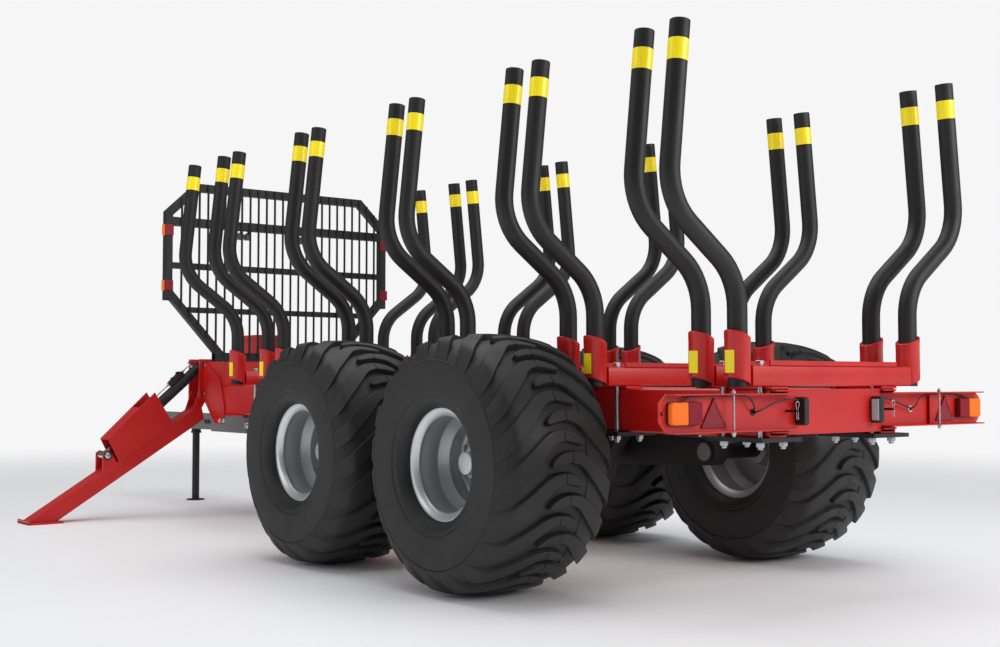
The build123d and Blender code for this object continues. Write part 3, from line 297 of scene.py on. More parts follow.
def moulded_lens(name, tone, rib_mm):
    """A moulded acrylic lens: clear gloss over ribs, so the colour looks lit from within."""
    made, tree, place = start(name)
    ribs = add(tree, "ShaderNodeTexWave", {"Vector": place, "Scale": per(rib_mm) / pi, "Distortion": 0.0})
    bump = add(tree, "ShaderNodeBump", {"Height": ribs.outputs[1], "Distance": 0.6 * MM, "Strength": 0.5})
    shader = add(
        tree,
        "ShaderNodeBsdfPrincipled",
        {
            "Base Color": shade_between(tree, ribs.outputs[1], dim(tone, 0.85), tone),
            "Roughness": 0.45,
            "IOR": 1.49,
            "Specular IOR Level": 0.25,
            "Subsurface Weight": 0.1,
            "Subsurface Scale": 4 * MM,
            "Coat Weight": 0.05,
            "Coat Roughness": 0.2,
            "Normal": bump.outputs[0],
        },
    )
    finish_with(tree, shader)
    return made


def amber_lens(paint):
    # Injection-moulded acrylic, amber: fine ribs under a smooth face.
    return moulded_lens("amber_lens_moulded", paint.amber, 9)


def red_lens(paint):
    # Injection-moulded acrylic, red: the same ribs, darker.
    return moulded_lens("red_lens_moulded", paint.lens_red, 9)


def prism_sheet(name, tone, cell_mm, wall_share):
    """Reflective sheet or prism lens: small cells that catch the light one by one."""
    made, tree, place = start(name)
    cells = add(tree, "ShaderNodeTexVoronoi", {"Vector": place, "Scale": per(cell_mm), "Randomness": 0.25})
    walls = add(
        tree,
        "ShaderNodeTexVoronoi",
        {"Vector": place, "Scale": per(cell_mm), "Randomness": 0.25},
        feature="DISTANCE_TO_EDGE",
    )
    bump = add(tree, "ShaderNodeBump", {"Height": walls.outputs[0], "Distance": 0.3 * MM, "Strength": 0.2})
    shader = add(
        tree,
        "ShaderNodeBsdfPrincipled",
        {
            "Base Color": shade_between(tree, cells.outputs["Distance"], tone, dim(tone, wall_share)),
            "Roughness": 0.3,
            "IOR": 1.5,
            "Coat Weight": 0.15,
            "Coat Roughness": 0.15,
            "Normal": bump.outputs[0],
        },
    )
    finish_with(tree, shader)
    return made


def yellow_tape(paint):
    # Prismatic reflective tape: cells about 12 mm wide are drawn, as real ones of 3 mm would not show.
    return prism_sheet("yellow_reflective_tape", paint.yellow, 12, 0.92)


def red_prism(paint):
    # Moulded prism reflector: cells of 8 mm under a gloss face, deep red.
    return prism_sheet("red_prism_reflector", paint.lens_red, 8, 0.8)


def black_abs(paint):
    # Moulded ABS with a spark-eroded grain: matt black lamp housings and caps.
    return painted_steel("black_abs_grained", linear("#161617"), 0.5, 2.5, 0.1, 1.5, 0.0)


def clear_lens(paint):
    # Clear acrylic over a grey reflector: pale, glossy and finely ribbed.
    return moulded_lens("clear_lens_moulded", linear("#B9BEC4"), 6)


def cable_pvc(paint):
    # Extruded soft PVC: black, smooth, with a broad dull shine.
    return painted_steel("cable_pvc_extruded", linear("#151516"), 0.38, 30, 0.05, 0.5, 0.0)


def pale_plastic(paint):
    # Injection-moulded nylon grommet: off-white and satin.
    return painted_steel("nylon_grommet_moulded", linear("#E4E2DC"), 0.42, 6, 0.05, 0.8, 0.1)


def cast_grey(paint):
    # Sand-cast and painted grey: dull, with a coarse grain.
    return painted_steel("cast_iron_painted_grey", linear("#77787A"), 0.5, 4, 0.3, 2.0, 0.05)


def wheel_silver_painted_shade(paint):
    # The same flake enamel inside the barrel, darker and duller: its darkness is painted shade for the
    # rim's hollow, where the tyre and disc keep the light out.
    painted_shade_tone = dim(paint.silver, 0.72)
    return painted_steel("wheel_enamel_painted_shade", painted_shade_tone, 0.42, 6, 0.15, 1.5, 0.1, metallic=0.65)


MAKERS = {
    "red": red_enamel,
    "black": black_powder_coat,
    "grey": grey_enamel,
    "silver": silver_enamel,
    "rubber": moulded_rubber,
    "zinc": zinc_plate,
    "chrome": hard_chrome,
    "amber": amber_lens,
    "lens_red": red_lens,
    "prism_red": red_prism,
    "tape": yellow_tape,
    "abs": black_abs,
    "clear_lens": clear_lens,
    "cable": cable_pvc,
    "pale_plastic": pale_plastic,
    "cast_grey": cast_grey,
    "wheel_silver_painted_shade": wheel_silver_painted_shade,
}
MADE = {}


def material(word):
    """The material of this name, made once."""
    if word not in MADE:
        MADE[word] = MAKERS[word](bpy.context.scene.trailer_paint)
    return MADE[word]


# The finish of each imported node, by its material slot in the record
SLOT_FINISH = {
    "red_paint": "red",
    "black_paint": "black",
    "grey_paint": "grey",
    "rim_paint": "silver",
    "tyre_rubber": "rubber",
    "buffer_rubber": "abs",
    "lamp_lens": "amber",
    "reflector_lens": "prism_red",
    "rod_chrome": "chrome",
}


# Shapes
def loft(bm, rings, around=True, ends=True, loop=False):
    """Skins a row of rings, each with the same number of points."""
    rows = [[bm.verts.new(point) for point in ring] for ring in rings]
    count = len(rings[0])
    pairs = list(zip(rows, rows[1:])) + ([(rows[-1], rows[0])] if loop else [])
    for here, there in pairs:
        for place in range(count if around else count - 1):
            after = (place + 1) % count
            bm.faces.new((here[place], here[after], there[after], there[place]))
    if ends and not loop:
        bm.faces.new(rows[0][::-1])
        bm.faces.new(rows[-1])


def circle(centre, radius, count, across=Vector((1, 0, 0)), up=Vector((0, 0, 1)), turn=0.0):
    """Points round a centre, in the plane of two unit vectors."""
    angles = [2 * pi * (place + turn) / count for place in range(count)]
    return [centre + across * (radius * cos(a)) + up * (radius * sin(a)) for a in angles]


def rod(bm, start_point, end_point, radius, count=16, turn=0.0, end_radius=None, chamfer=0.0):
    """A straight round bar between two points, or a prism with few sides."""
    start_point, end_point = Vector(start_point), Vector(end_point)
    along = (end_point - start_point).normalized()
    across = along.orthogonal().normalized()
    up = along.cross(across)
    last = radius if end_radius is None else end_radius
    steps = [(start_point, radius), (end_point, last)]
    if chamfer:
        steps = [
            (start_point, radius - chamfer),
            (start_point + along * chamfer, radius),
            (end_point - along * chamfer, last),
            (end_point, last - chamfer),
        ]
    loft(bm, [circle(centre, size, count, across, up, turn) for centre, size in steps])


def spot(x, y, z):
    """A point in the frame from millimetres, with y counted from the datum."""
    return Vector((x * MM, DATUM_Y + y * MM, z * MM))


def prism(bm, outline, shift):
    """A flat outline pushed along a vector."""
    shift = Vector(shift)
    loft(bm, [outline, [point + shift for point in outline]])


def slab(bm, low, high):
    """A box between two corners in millimetres, with y counted from the datum."""
    corners = ((low[0], low[2]), (high[0], low[2]), (high[0], high[2]), (low[0], high[2]))
    prism(bm, [spot(x, low[1], z) for x, z in corners], (0, (high[1] - low[1]) * MM, 0))


def side_slab(bm, side, low, high):
    """A box of one side of the trailer, with x counted outboard."""
    near, far = sorted((side * low[0], side * high[0]))
    slab(bm, (near, *low[1:]), (far, *high[1:]))


def across_plate(bm, corners, rear, front):
    """A plate that stands across the trailer, from its (x, z) outline and its two faces' y."""
    prism(bm, [spot(x, rear, z) for x, z in corners], (0, (front - rear) * MM, 0))


def rounded(corners, steps=4):
    """A closed outline from rows of (first, second, how far from the corner its rounding starts)."""
    places = [Vector(row[:2]) for row in corners]
    points = []
    for before, row, after in zip([places[-1], *places], corners, [*places[1:], places[0]]):
        corner = Vector(row[:2])
        come = (before - corner).normalized() * row[2]
        go = (after - corner).normalized() * row[2]
        for step in range(steps + 1 if row[2] else 1):
            share = step / steps
            points.append(corner + come * (1 - share) ** 2 + go * share**2)
    return points


def tube_along(bm, points, radius, count=12):
    """A round pipe or wire through a row of points."""
    points = [Vector(point) for point in points]
    across = (points[1] - points[0]).orthogonal()
    rings = []
    for before, here, after in zip(points[:1] + points, points, points[1:] + points[-1:]):
        along = (after - before).normalized()
        across = (across - along * across.dot(along)).normalized()
        rings.append(circle(here, radius, count, across, along.cross(across)))
    loft(bm, rings)


def dome(bm, foot, way, radius, height, count=24):
    """A domed pin end that rises from its foot along a unit vector."""
    way = Vector(way)
    across = way.orthogonal().normalized()
    steps = [(cos(radians(a)) * radius, sin(radians(a)) * height) for a in (0, 20, 40, 60, 80)]
    loft(bm, [circle(foot + way * rise, size, count, across, way.cross(across)) for size, rise in steps])


def piece(name, bm, finish, body="root", replaces=(), sharp=32, edge=0.0):
    """Turns a mesh into a piece of the trailer that rides on a body; its edges may be rounded."""
    bmesh.ops.recalc_face_normals(bm, faces=bm.faces)
    mesh = bpy.data.meshes.new(name)
    bm.to_mesh(mesh)
    bm.free()
    mesh.materials.append(material(finish))
    mesh.shade_smooth()
    mesh.set_sharp_from_angle(angle=radians(sharp))
    made = bpy.data.objects.new(name, mesh)
    bpy.context.scene.collection.objects.link(made)
    if edge:
        rounding = made.modifiers.new("rounding", "BEVEL")
        rounding.width, rounding.segments = edge * MM, 2
        rounding.limit_method, rounding.angle_limit = "ANGLE", radians(40)
        rounding.use_clamp_overlap = True
    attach(made, body)
    if replaces:
        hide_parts(*replaces)
    return made


def table_value(table, place):
    """A value read along a table of (place, value) rows, straight between the rows."""
    for (here, low), (there, high) in zip(table, table[1:]):
        if place <= there:
            return low + (high - low) * (place - here) / (there - here)
    return table[-1][1]


def rounded_table(rows, passes=1):
    """Cuts the corners of a row of points, so that they run smoothly, and keeps the two ends."""
    for _ in range(passes):
        cut = [rows[0]]
        for here, there in zip(rows, rows[1:]):
            cut.append([a * 0.75 + b * 0.25 for a, b in zip(here, there)])
            cut.append([a * 0.25 + b * 0.75 for a, b in zip(here, there)])
        rows = [*cut, rows[-1]]
    return rows


# Tyres, all in millimetres from the tyre's middle plane and axis
CROWN = ((0, 628.5), (100, 626), (180, 619), (240, 608), (272, 599), (288, 581), (300, 562), (330, 504))
# Half of the carcass from the middle to the bead: (across, radius below the lugs' feet)
CARCASS = (
    (0, 600), (60, 599.5), (124, 597), (128, 601.5), (180, 598), (235, 589), (262, 578), (280, 564),
    (296, 549), (312, 528), (324, 508), (330, 500), (329, 497), (326.5, 494), (329.5, 490), (330, 486),
    (330, 350), (329, 343), (326, 338), (322, 334), (322, 322), (316, 308), (300, 288), (284, 276),
    (268, 272), (263, 271), (256, 262), (212, 262), (208, 300), (214, 420), (210, 520), (150, 565),
    (0, 572),
)
# One lug: (across, upper edge and lower edge in degrees, drop below the crown)
LUG = (
    (19.5, 0.0, -4.6, 0.0), (60, -0.3, -5.5, 0.0), (90, -1.0, -7.3, 0.0), (125, -2.7, -10.5, 0.0),
    (155, -4.6, -13.5, 0.0), (200, -8.2, -17.5, 0.0), (250, -12.0, -22.0, 0.0), (272, -14.5, -24.5, 0.0),
    (290, -16.4, -26.4, 1.5), (308, -18.2, -28.4, 2.0), (328, -20.0, -30.4, 2.5),
)
# The hooked block that crosses the middle, with the same columns
HOOK = (
    (-98, -5.1, -5.9, 0.0), (-82, -3.3, -6.3, 0.0), (-52, -1.4, -5.6, 0.0), (-20, -0.4, -4.9, 0.0),
    (16.0, 0.0, -4.5, 0.0),
)
SIPE = ((15.0, -0.4, -4.2, 11.0), (20.5, -0.4, -4.2, 11.0))
# Where the first lug's tip stands, in degrees up from pointing rearward
TIP_OUTBOARD, TIP_INBOARD = 16.4, 7.3
# Rows of the carcass that carry lugs, how deep a lug's foot is sunk in it, a full lug's height, and
# the height below which a lug's upper edge is cut less
SHOULDER_ROWS = 12
LUG_SUNK, FULL_LUG, LOW_LUG = 4.0, 27.0, 12.0


def on_wheel(centre, side, across, radius, angle):
    """A point of a wheel: millimetres outboard, millimetres from the axis, degrees up from the rear."""
    return centre + Vector(
        (
            side * across * MM,
            -radius * MM * cos(radians(angle)),
            radius * MM * sin(radians(angle)),
        )
    )


def wheel_rings(centre, side, section, count=96):
    """Rings round a wheel's axis, one for each (across, radius) of a section."""
    turns = [360 / count * step for step in range(count)]
    return [[on_wheel(centre, side, *place, turn) for turn in turns] for place in section]


def block(bm, rows, tip, hand, centre, side, tyre):
    """One lug or block of the tread, from shoulder foot to top and down again at each row."""
    rings = []
    edge, draft = tyre.lug_edge / MM, tyre.lug_draft / MM
    for across, upper, lower, drop in rows:
        top = table_value(CROWN, abs(across)) - drop
        foot = table_value(CARCASS[:SHOULDER_ROWS], abs(across)) - LUG_SUNK
        height = max(top - foot, LUG_SUNK)
        lean = degrees(draft * min(height / FULL_LUG, 1.0) / foot)
        inset = degrees(min(edge, height * 0.4) / top)
        inset = min(inset, (upper - lower) * 0.4)
        side_top = top - edge * min(height / LOW_LUG, 1.0)
        profile = (
            (foot, upper + lean),
            (side_top, upper),
            (top, upper - inset),
            (top, (upper + lower) / 2),
            (top, lower + inset),
            (side_top, lower),
            (foot, lower - lean),
        )
        out = hand * across
        rings.append([on_wheel(centre, side, out, radius, tip + angle) for radius, angle in profile])
    loft(bm, rings)


def wheel_centre(end_word, word):
    """The middle of a wheel: across from its tyre's box, the rest from its rim's."""
    low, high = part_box(f"rim_{end_word}_{word}")
    tyre_low, tyre_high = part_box(f"tyre_{end_word}_{word}")
    return Vector(((tyre_low.x + tyre_high.x) / 2, (low.y + high.y) / 2, (low.z + high.z) / 2))


class TRAILER_OT_tyres(bpy.types.Operator):
    """Four tyres with hooked lugs over a ringed carcass."""

    bl_idname = "trailer.tyres"
    bl_label = "Tyres"

    def execute(self, context):
        tyre = context.scene.trailer_tyre
        pitch = 360 / tyre.lug_count
        lug, hook = rounded_table(LUG), rounded_table(HOOK)
        outline = [*CARCASS, *((-across, radius) for across, radius in reversed(CARCASS[1:-1]))]
        for end_word, _ in ENDS:
            for word, side in SIDES:
                centre = wheel_centre(end_word, word)
                bm = bmesh.new()
                loft(bm, wheel_rings(centre, side, outline, 120), loop=True)
                for hand, first in ((1, TIP_OUTBOARD), (-1, TIP_INBOARD)):
                    for count in range(tyre.lug_count):
                        tip = first + pitch * count
                        for rows in (lug, hook, SIPE):
                            block(bm, rows, tip, hand, centre, side, tyre)
                node, body = f"tyre_{end_word}_{word}", f"wheel_{end_word}_{word}"
                piece(f"{node}_treaded", bm, "rubber", body, [node], 28)
        return {"FINISHED"}


# Rims: (across, radius) round the closed section of the bright lip, and of the barrel behind it
LIP_SECTION = (
    (262.6, 269.6), (263.0, 266.0), (262.2, 263.0), (260.6, 262.2), (260.4, 260.0), (259.0, 256.5),
    (248.0, 240.0), (238.0, 232.0), (234.0, 230.5), (230.0, 232.5), (226.0, 238.0), (226.0, 245.0),
    (240.0, 254.5), (249.0, 257.5), (256.0, 269.6),
)
BARREL_SECTION = (
    (227.0, 239.0), (214.0, 241.0), (203.0, 239.0), (190.0, 236.5), (161.0, 234.5), (132.0, 236.5),
    (119.0, 238.0), (114.0, 236.0), (84.0, 207.0), (76.0, 200.5), (55.0, 202.6), (50.0, 205.0),
    (2.0, 204.0), (-3.0, 201.0), (-60.0, 201.0), (-110.0, 236.0), (-190.0, 238.0), (-226.0, 238.0),
    (-236.0, 230.5), (-248.0, 240.0), (-262.6, 267.0), (-262.6, 269.6), (-256.0, 269.6),
    (-249.0, 257.5), (-240.0, 254.5), (-116.0, 247.0), (-66.0, 210.0), (66.0, 210.0), (116.0, 247.0),
    (227.0, 246.0),
)
# Disc and hub from the rim's well outward and back inside, and the cap: (across, radius)
DISC_SECTION = (
    (2.0, 204.0), (0.0, 196.0), (-4.0, 190.0), (-4.0, 96.0), (4.0, 90.0), (70.0, 84.0), (78.0, 80.0),
    (80.0, 66.0), (80.0, 6.0),
)
HUB_BACK = ((-90.0, 6.0), (-90.0, 80.0), (-30.0, 82.0), (-16.0, 96.0), (-16.0, 190.0), (-12.0, 204.0))
CAP_SECTION = ((79.0, 55.5), (122.0, 55.5), (127.6, 52.0), (129.0, 40.0), (129.4, 5.0))
# Thin bright ridges that stand in the barrel's well: (across, radius) of a closed section
RIDGES = (
    ((76.0, 201.5), (76.0, 199.6), (72.0, 199.2), (70.0, 202.0)),
    ((1.0, 204.5), (1.0, 199.0), (-4.0, 199.0), (-6.0, 204.5)),
)
# Webs between hub and rim: their outline as (across, radius), and half their thickness
WEB_COUNT = 8
WEB_OUTLINE, WEB_HALF_T = ((-2, 82), (74, 82), (66, 96), (-2, 200)), 5.0
# Wheel nuts: how many, their circle's radius, and where seat, nut's end and stud's end lie across
NUT_COUNT, NUT_CIRCLE = 10, 122.0
NUT_PLACES = (-4, 16, 30)
# Valve: its angle, and its bends as (across, radius)
VALVE_ANGLE = -72.0
VALVE_BENDS = ((104, 238), (112, 228), (176, 214))


class TRAILER_OT_rims(bpy.types.Operator):
    """Four pressed rims with bright lips, barrels, discs and webs darkened by painted shade, wheel nuts,
    hub caps and valves.
    """

    bl_idname = "trailer.rims"
    bl_label = "Rims"

    def execute(self, context):
        for end_word, _ in ENDS:
            for word, side in SIDES:
                centre = wheel_centre(end_word, word)
                body = f"wheel_{end_word}_{word}"
                node = f"rim_{end_word}_{word}"
                bm = bmesh.new()
                for section in (BARREL_SECTION, DISC_SECTION + HUB_BACK):
                    loft(bm, wheel_rings(centre, side, section), loop=True)
                for count in range(WEB_COUNT):
                    angle = 360 / WEB_COUNT * (count + 0.5)
                    faces = [
                        [
                            on_wheel(centre, side, across, radius, angle + degrees(half / radius))
                            for across, radius in WEB_OUTLINE
                        ]
                        for half in (-WEB_HALF_T, WEB_HALF_T)
                    ]
                    loft(bm, faces)
                # Barrel, disc, hub and webs take the wheels' silver darkened as painted shade.
                piece(f"{node}_barrel", bm, "wheel_silver_painted_shade", body, [node], 25)

                bm = bmesh.new()
                loft(bm, wheel_rings(centre, side, LIP_SECTION), loop=True)
                loft(bm, wheel_rings(centre, side, CAP_SECTION))
                for section in RIDGES:
                    loft(bm, wheel_rings(centre, side, section), loop=True)
                piece(f"{node}_lip_and_cap", bm, "silver", body, sharp=25)

                bm = bmesh.new()
                for count in range(NUT_COUNT):
                    angle = 360 / NUT_COUNT * count
                    foot, head, stud = [
                        on_wheel(centre, side, across, NUT_CIRCLE, angle) for across in NUT_PLACES
                    ]
                    rod(bm, foot, head, 17 * MM, 6, chamfer=2 * MM)
                    rod(bm, head, stud, 10 * MM, 12, chamfer=1.5 * MM)
                piece(f"wheel_nuts_{end_word}_{word}", bm, "zinc", body)

                bm = bmesh.new()
                stem, base, tip = [on_wheel(centre, side, *bend, VALVE_ANGLE) for bend in VALVE_BENDS]
                rod(bm, stem, base, 13 * MM, 12, chamfer=2 * MM)
                rod(bm, base, tip, 6.5 * MM, 10, chamfer=1 * MM)
                rod(bm, tip, tip + (tip - base).normalized() * 14 * MM, 8.5 * MM, 10, chamfer=1.5 * MM)
                piece(f"valve_{end_word}_{word}", bm, "abs", body)
        return {"FINISHED"}


# Stakes and bunks, in millimetres; the route is (distance from the centre plane, height)
STAKE_ROUTE = ((621.0, 1000.0), (621.0, 1477.0), (1045.0, 1780.0), (963.0, 2544.0))
STAKE_X = STAKE_ROUTE[0][0]
STAKE_CHAMFER, TAPE_PROUD = 2.0, 0.8
SOCKET_TOP, SOCKET_BOTTOM, SOCKET_SLANT = 1226.0, 1021.0, 21.5
SOCKET_PLAY = 0.4
CROSS_W, CROSS_H, CROSS_BOTTOM = 96.0, 94.0, 1000.0
CROSS_CORNER, PAD_CORNER = 9.0, 6.0
BEAM_TOP, BEAM_X, BEAM_W = 990.0, 400.0, 120.0
# The yellow patch on a socket: its lower edge, and its back and face from the socket's wall
PATCH_LOW, PATCH_DEPTHS = 1061.0, (-0.5, 0.9)
# The strip on edge along each cross tube's rear edge
STRIP_REACH, STRIP_H, STRIP_T = 460.0, 22.0, 10.0


def bent_line(corners, radius, step=7.0):
    """Stations (place, direction) along straight runs that arcs of one radius join."""
    turns = [Vector(corner) * MM for corner in corners]
    stations = [(turns[0], (turns[1] - turns[0]).normalized())]
    for before, corner, after in zip(turns, turns[1:], turns[2:]):
        come, go = (corner - before).normalized(), (after - corner).normalized()
        turn = come.angle_signed(go)
        reach = radius * tan(abs(turn) / 2)
        inward = Vector((come.y, -come.x)) * (1 if turn > 0 else -1)
        centre = corner - come * reach + inward * radius
        count = max(2, round(degrees(abs(turn)) / step))
        for place in range(count + 1):
            swing = Matrix.Rotation(-turn * place / count, 2)
            stations.append((centre - swing @ (inward * radius), swing @ come))
    stations.append((turns[-1], (turns[-1] - turns[-2]).normalized()))
    return stations


def tube_rings(stations, side, tube_y, radius, count=28):
    """Rings of a tube that is bent in a plane across the trailer."""
    rings = []
    for place, along in stations:
        centre = Vector((side * place.x, tube_y, place.y))
        across = Vector((side * along.y, 0, -along.x))
        rings.append(circle(centre, radius, count, across, Vector((0, 1, 0))))
    return rings


class TRAILER_OT_stakes(bpy.types.Operator):
    """Bent stakes with chamfered tops and their yellow bands."""

    bl_idname = "trailer.stakes"
    bl_label = "Stakes"

    def execute(self, context):
        stake = context.scene.trailer_stake
        stations = bent_line(STAKE_ROUTE, stake.bend)
        top, along = stations[-1]
        edge = STAKE_CHAMFER * MM
        below_chamfer = [*stations[:-1], (top - along * edge, along)]
        high = top - along * stake.band_drop
        low = high - along * stake.band_height
        inner, outer = stake.radius - edge, stake.radius + TAPE_PROUD * MM
        for number in range(1, BUNK_COUNT + 1):
            tubes, bands = bmesh.new(), bmesh.new()
            for tube_y in tube_places(number):
                for _, side in SIDES:
                    rings = tube_rings(below_chamfer, side, tube_y, stake.radius)
                    rings += tube_rings([(top, along)], side, tube_y, inner)
                    loft(tubes, rings)
                    rings = []
                    for place, size in ((low, inner), (low, outer), (high, outer), (high, inner)):
                        rings += tube_rings([(place, along)], side, tube_y, size)
                    loft(bands, rings, loop=True)
            node = f"stakes_{number}"
            piece(f"{node}_bent", tubes, "black", replaces=[node])
            piece(f"stake_bands_{number}", bands, "tape")
        return {"FINISHED"}


def slanted_ring(side, tube_y, radius, height, count=32):
    """A ring on a socket's slanted plane, through this height on the socket's axis."""
    centre = Vector((side * STAKE_X * MM, tube_y, height * MM))
    points = circle(centre, radius, count, up=Vector((0, 1, 0)))
    for point in points:
        point.z += side * (point.x - centre.x) * tan(radians(SOCKET_SLANT))
    return points


def rounded_box(centre, size, corner, steps=3):
    """Corner points of a rectangle with round corners, as (first, second) offsets."""
    points = []
    for first, second, begin in ((1, 1, 0), (-1, 1, 90), (-1, -1, 180), (1, -1, 270)):
        for step in range(steps + 1):
            angle = radians(begin + 90 * step / steps)
            points.append(
                (
                    centre[0] + first * (size[0] / 2 - corner) + corner * cos(angle),
                    centre[1] + second * (size[1] / 2 - corner) + corner * sin(angle),
                )
            )
    return points


def patch_face(bunk, side, tube_y, radius):
    """One curved face of a socket's patch: its lower edge one way and its upper edge back."""
    half = bunk.patch_width / 2 / bunk.socket_radius
    edges = []
    for height in (0, bunk.patch_height):
        swings = [half * (step / 4 - 1) for step in range(9)]
        middle = Vector((side * STAKE_X * MM, tube_y, PATCH_LOW * MM + height))
        edges.append([middle + Vector((side * radius * cos(a), radius * sin(a), 0)) for a in swings])
    return edges[0] + edges[1][::-1]


class TRAILER_OT_bunks(bpy.types.Operator):
    """Bunks: round-cornered cross tubes, pads, slant-cut sockets with collars, and yellow patches."""

    bl_idname = "trailer.bunks"
    bl_label = "Bunks"

    def execute(self, context):
        bunk = context.scene.trailer_bunk
        bore = STAKE_R + SOCKET_PLAY * MM
        for number in range(1, BUNK_COUNT + 1):
            places = tube_places(number)
            bm, patches = bmesh.new(), bmesh.new()
            for tube_y in places:
                middle = (tube_y, (CROSS_BOTTOM + CROSS_H / 2) * MM)
                section = rounded_box(middle, (CROSS_W * MM, CROSS_H * MM), CROSS_CORNER * MM)
                reach = (STAKE_X * MM - bore) * 0.998
                loft(bm, [[Vector((x, y, z)) for y, z in section] for x in (-reach, reach)])
                rear = (tube_y - DATUM_Y) / MM - CROSS_W / 2
                top = CROSS_BOTTOM + CROSS_H
                slab(bm, (-STRIP_REACH, rear, top), (STRIP_REACH, rear + STRIP_T, top + STRIP_H))
                for _, side in SIDES:
                    outer, lip = bunk.socket_radius, bunk.socket_radius + 0.8 * MM
                    collar = SOCKET_TOP - bunk.collar / MM
                    socket = (
                        (bore, SOCKET_TOP),
                        (lip - 2 * MM, SOCKET_TOP),
                        (lip, SOCKET_TOP - 2),
                        (lip, collar + 1.5),
                        (outer, collar),
                        (outer, SOCKET_BOTTOM + 2),
                        (outer - 2 * MM, SOCKET_BOTTOM),
                        (bore, SOCKET_BOTTOM),
                    )
                    loft(bm, [slanted_ring(side, tube_y, *ring) for ring in socket], loop=True)
                    back, face = [outer + proud * MM for proud in PATCH_DEPTHS]
                    loft(patches, [patch_face(bunk, side, tube_y, radius) for radius in (back, face)])
            pad_low, pad_high = places[0] - CROSS_W / 2 * MM, places[-1] + CROSS_W / 2 * MM
            for _, side in SIDES:
                middle = (side * BEAM_X * MM, (pad_low + pad_high) / 2)
                pad = rounded_box(middle, (BEAM_W * MM, pad_high - pad_low), PAD_CORNER * MM)
                loft(bm, [[Vector((x, y, z * MM)) for x, y in pad] for z in (BEAM_TOP, CROSS_BOTTOM)])
            node = f"bunk_{number}"
            piece(f"{node}_welded", bm, "red", replaces=[node])
            piece(f"socket_patches_{number}", patches, "tape")
        return {"FINISHED"}


# Clamp bolts beside the beams
BOLT_X = (324.0, 477.0)
CLAMP_BOTTOM = 757.0
WASHER_T, NUT_T = 4.0, 18.0
BOLT_ABOVE, BOLT_BELOW = 4.0, 34.0


class TRAILER_OT_clamp_bolts(bpy.types.Operator):
    """Long bolts with washers and nuts that hold each cross tube to the beams."""

    bl_idname = "trailer.clamp_bolts"
    bl_label = "Clamp bolts"

    def execute(self, context):
        bolts = context.scene.trailer_bolt
        corner = bolts.across_flats / 2 / cos(pi / 6)
        washer, shank = bolts.across_flats * 0.6, bolts.shank / 2
        for number in range(1, BUNK_COUNT + 1):
            bm = bmesh.new()
            for tube_y in tube_places(number):
                for bolt_x in BOLT_X:
                    for _, side in SIDES:
                        x = side * bolt_x * MM
                        low = Vector((x, tube_y, (CLAMP_BOTTOM - BOLT_BELOW) * MM))
                        high = Vector((x, tube_y, (CROSS_BOTTOM + CROSS_H + BOLT_ABOVE) * MM))
                        rod(bm, low, high, shank, 14, chamfer=2 * MM)
                        for seat_z, way in ((CROSS_BOTTOM + CROSS_H, 1), (CLAMP_BOTTOM, -1)):
                            seat = Vector((x, tube_y, seat_z * MM))
                            nut = seat + Vector((0, 0, way * WASHER_T * MM))
                            end = nut + Vector((0, 0, way * NUT_T * MM))
                            rod(bm, seat, nut, washer, 20)
                            rod(bm, nut, end, corner, 6, chamfer=2 * MM)
            piece(f"clamp_bolts_{number}", bm, "zinc")
        return {"FINISHED"}


# Rear lamps, in millimetres; x is outboard on each side
CHANNEL_TOP, CHANNEL_BOTTOM = 972.0, 810.0
INNER_WEB, OUTER_WEB = -1880.0, -1895.0
# Tail lamp: its back plate, then the red and amber lenses, each as (x, z, rounding)
LAMP_REAR, LAMP_BACK_T = -1926.0, 8.0
LAMP_BACK = ((932.0, 843.0, 7), (1115.0, 843.0, 18), (1115.0, 940.0, 18), (932.0, 940.0, 7))
LAMP_AMBER = ((1016.5, 845.0, 0), (1114.0, 845.0, 17), (1114.0, 938.0, 17), (1016.5, 938.0, 0))
LAMP_RED = ((933.0, 845.0, 6), (1015.5, 845.0, 0), (1015.5, 938.0, 0), (933.0, 938.0, 6))
TRIANGLE = ((756.0, 829.0), (919.0, 829.0), (837.5, 957.0))
TRIANGLE_MIDDLE = (837.5, 873.7)
TRIANGLE_INRADIUS = 44.7
# Rings of a triangle from its back to its face: (inset from the edge, height over the web)
TRIANGLE_RINGS = ((0, 0), (0, 6.0), (1.5, 8.0), (12.0, 8.0), (13.0, 6.0))
# Number-plate lamp: its body's outline as (x, z, rounding), its rear, and its lens
PLATE_LAMP = ((258.0, 828, 10), (292.0, 828, 10), (292.0, 955, 10), (258.0, 955, 10))
PLATE_LAMP_REAR = -1935.0
PLATE_LENS_LOW, PLATE_LENS_HIGH = (254.0, -1929.0, 842.0), (259.0, -1890.0, 941.0)


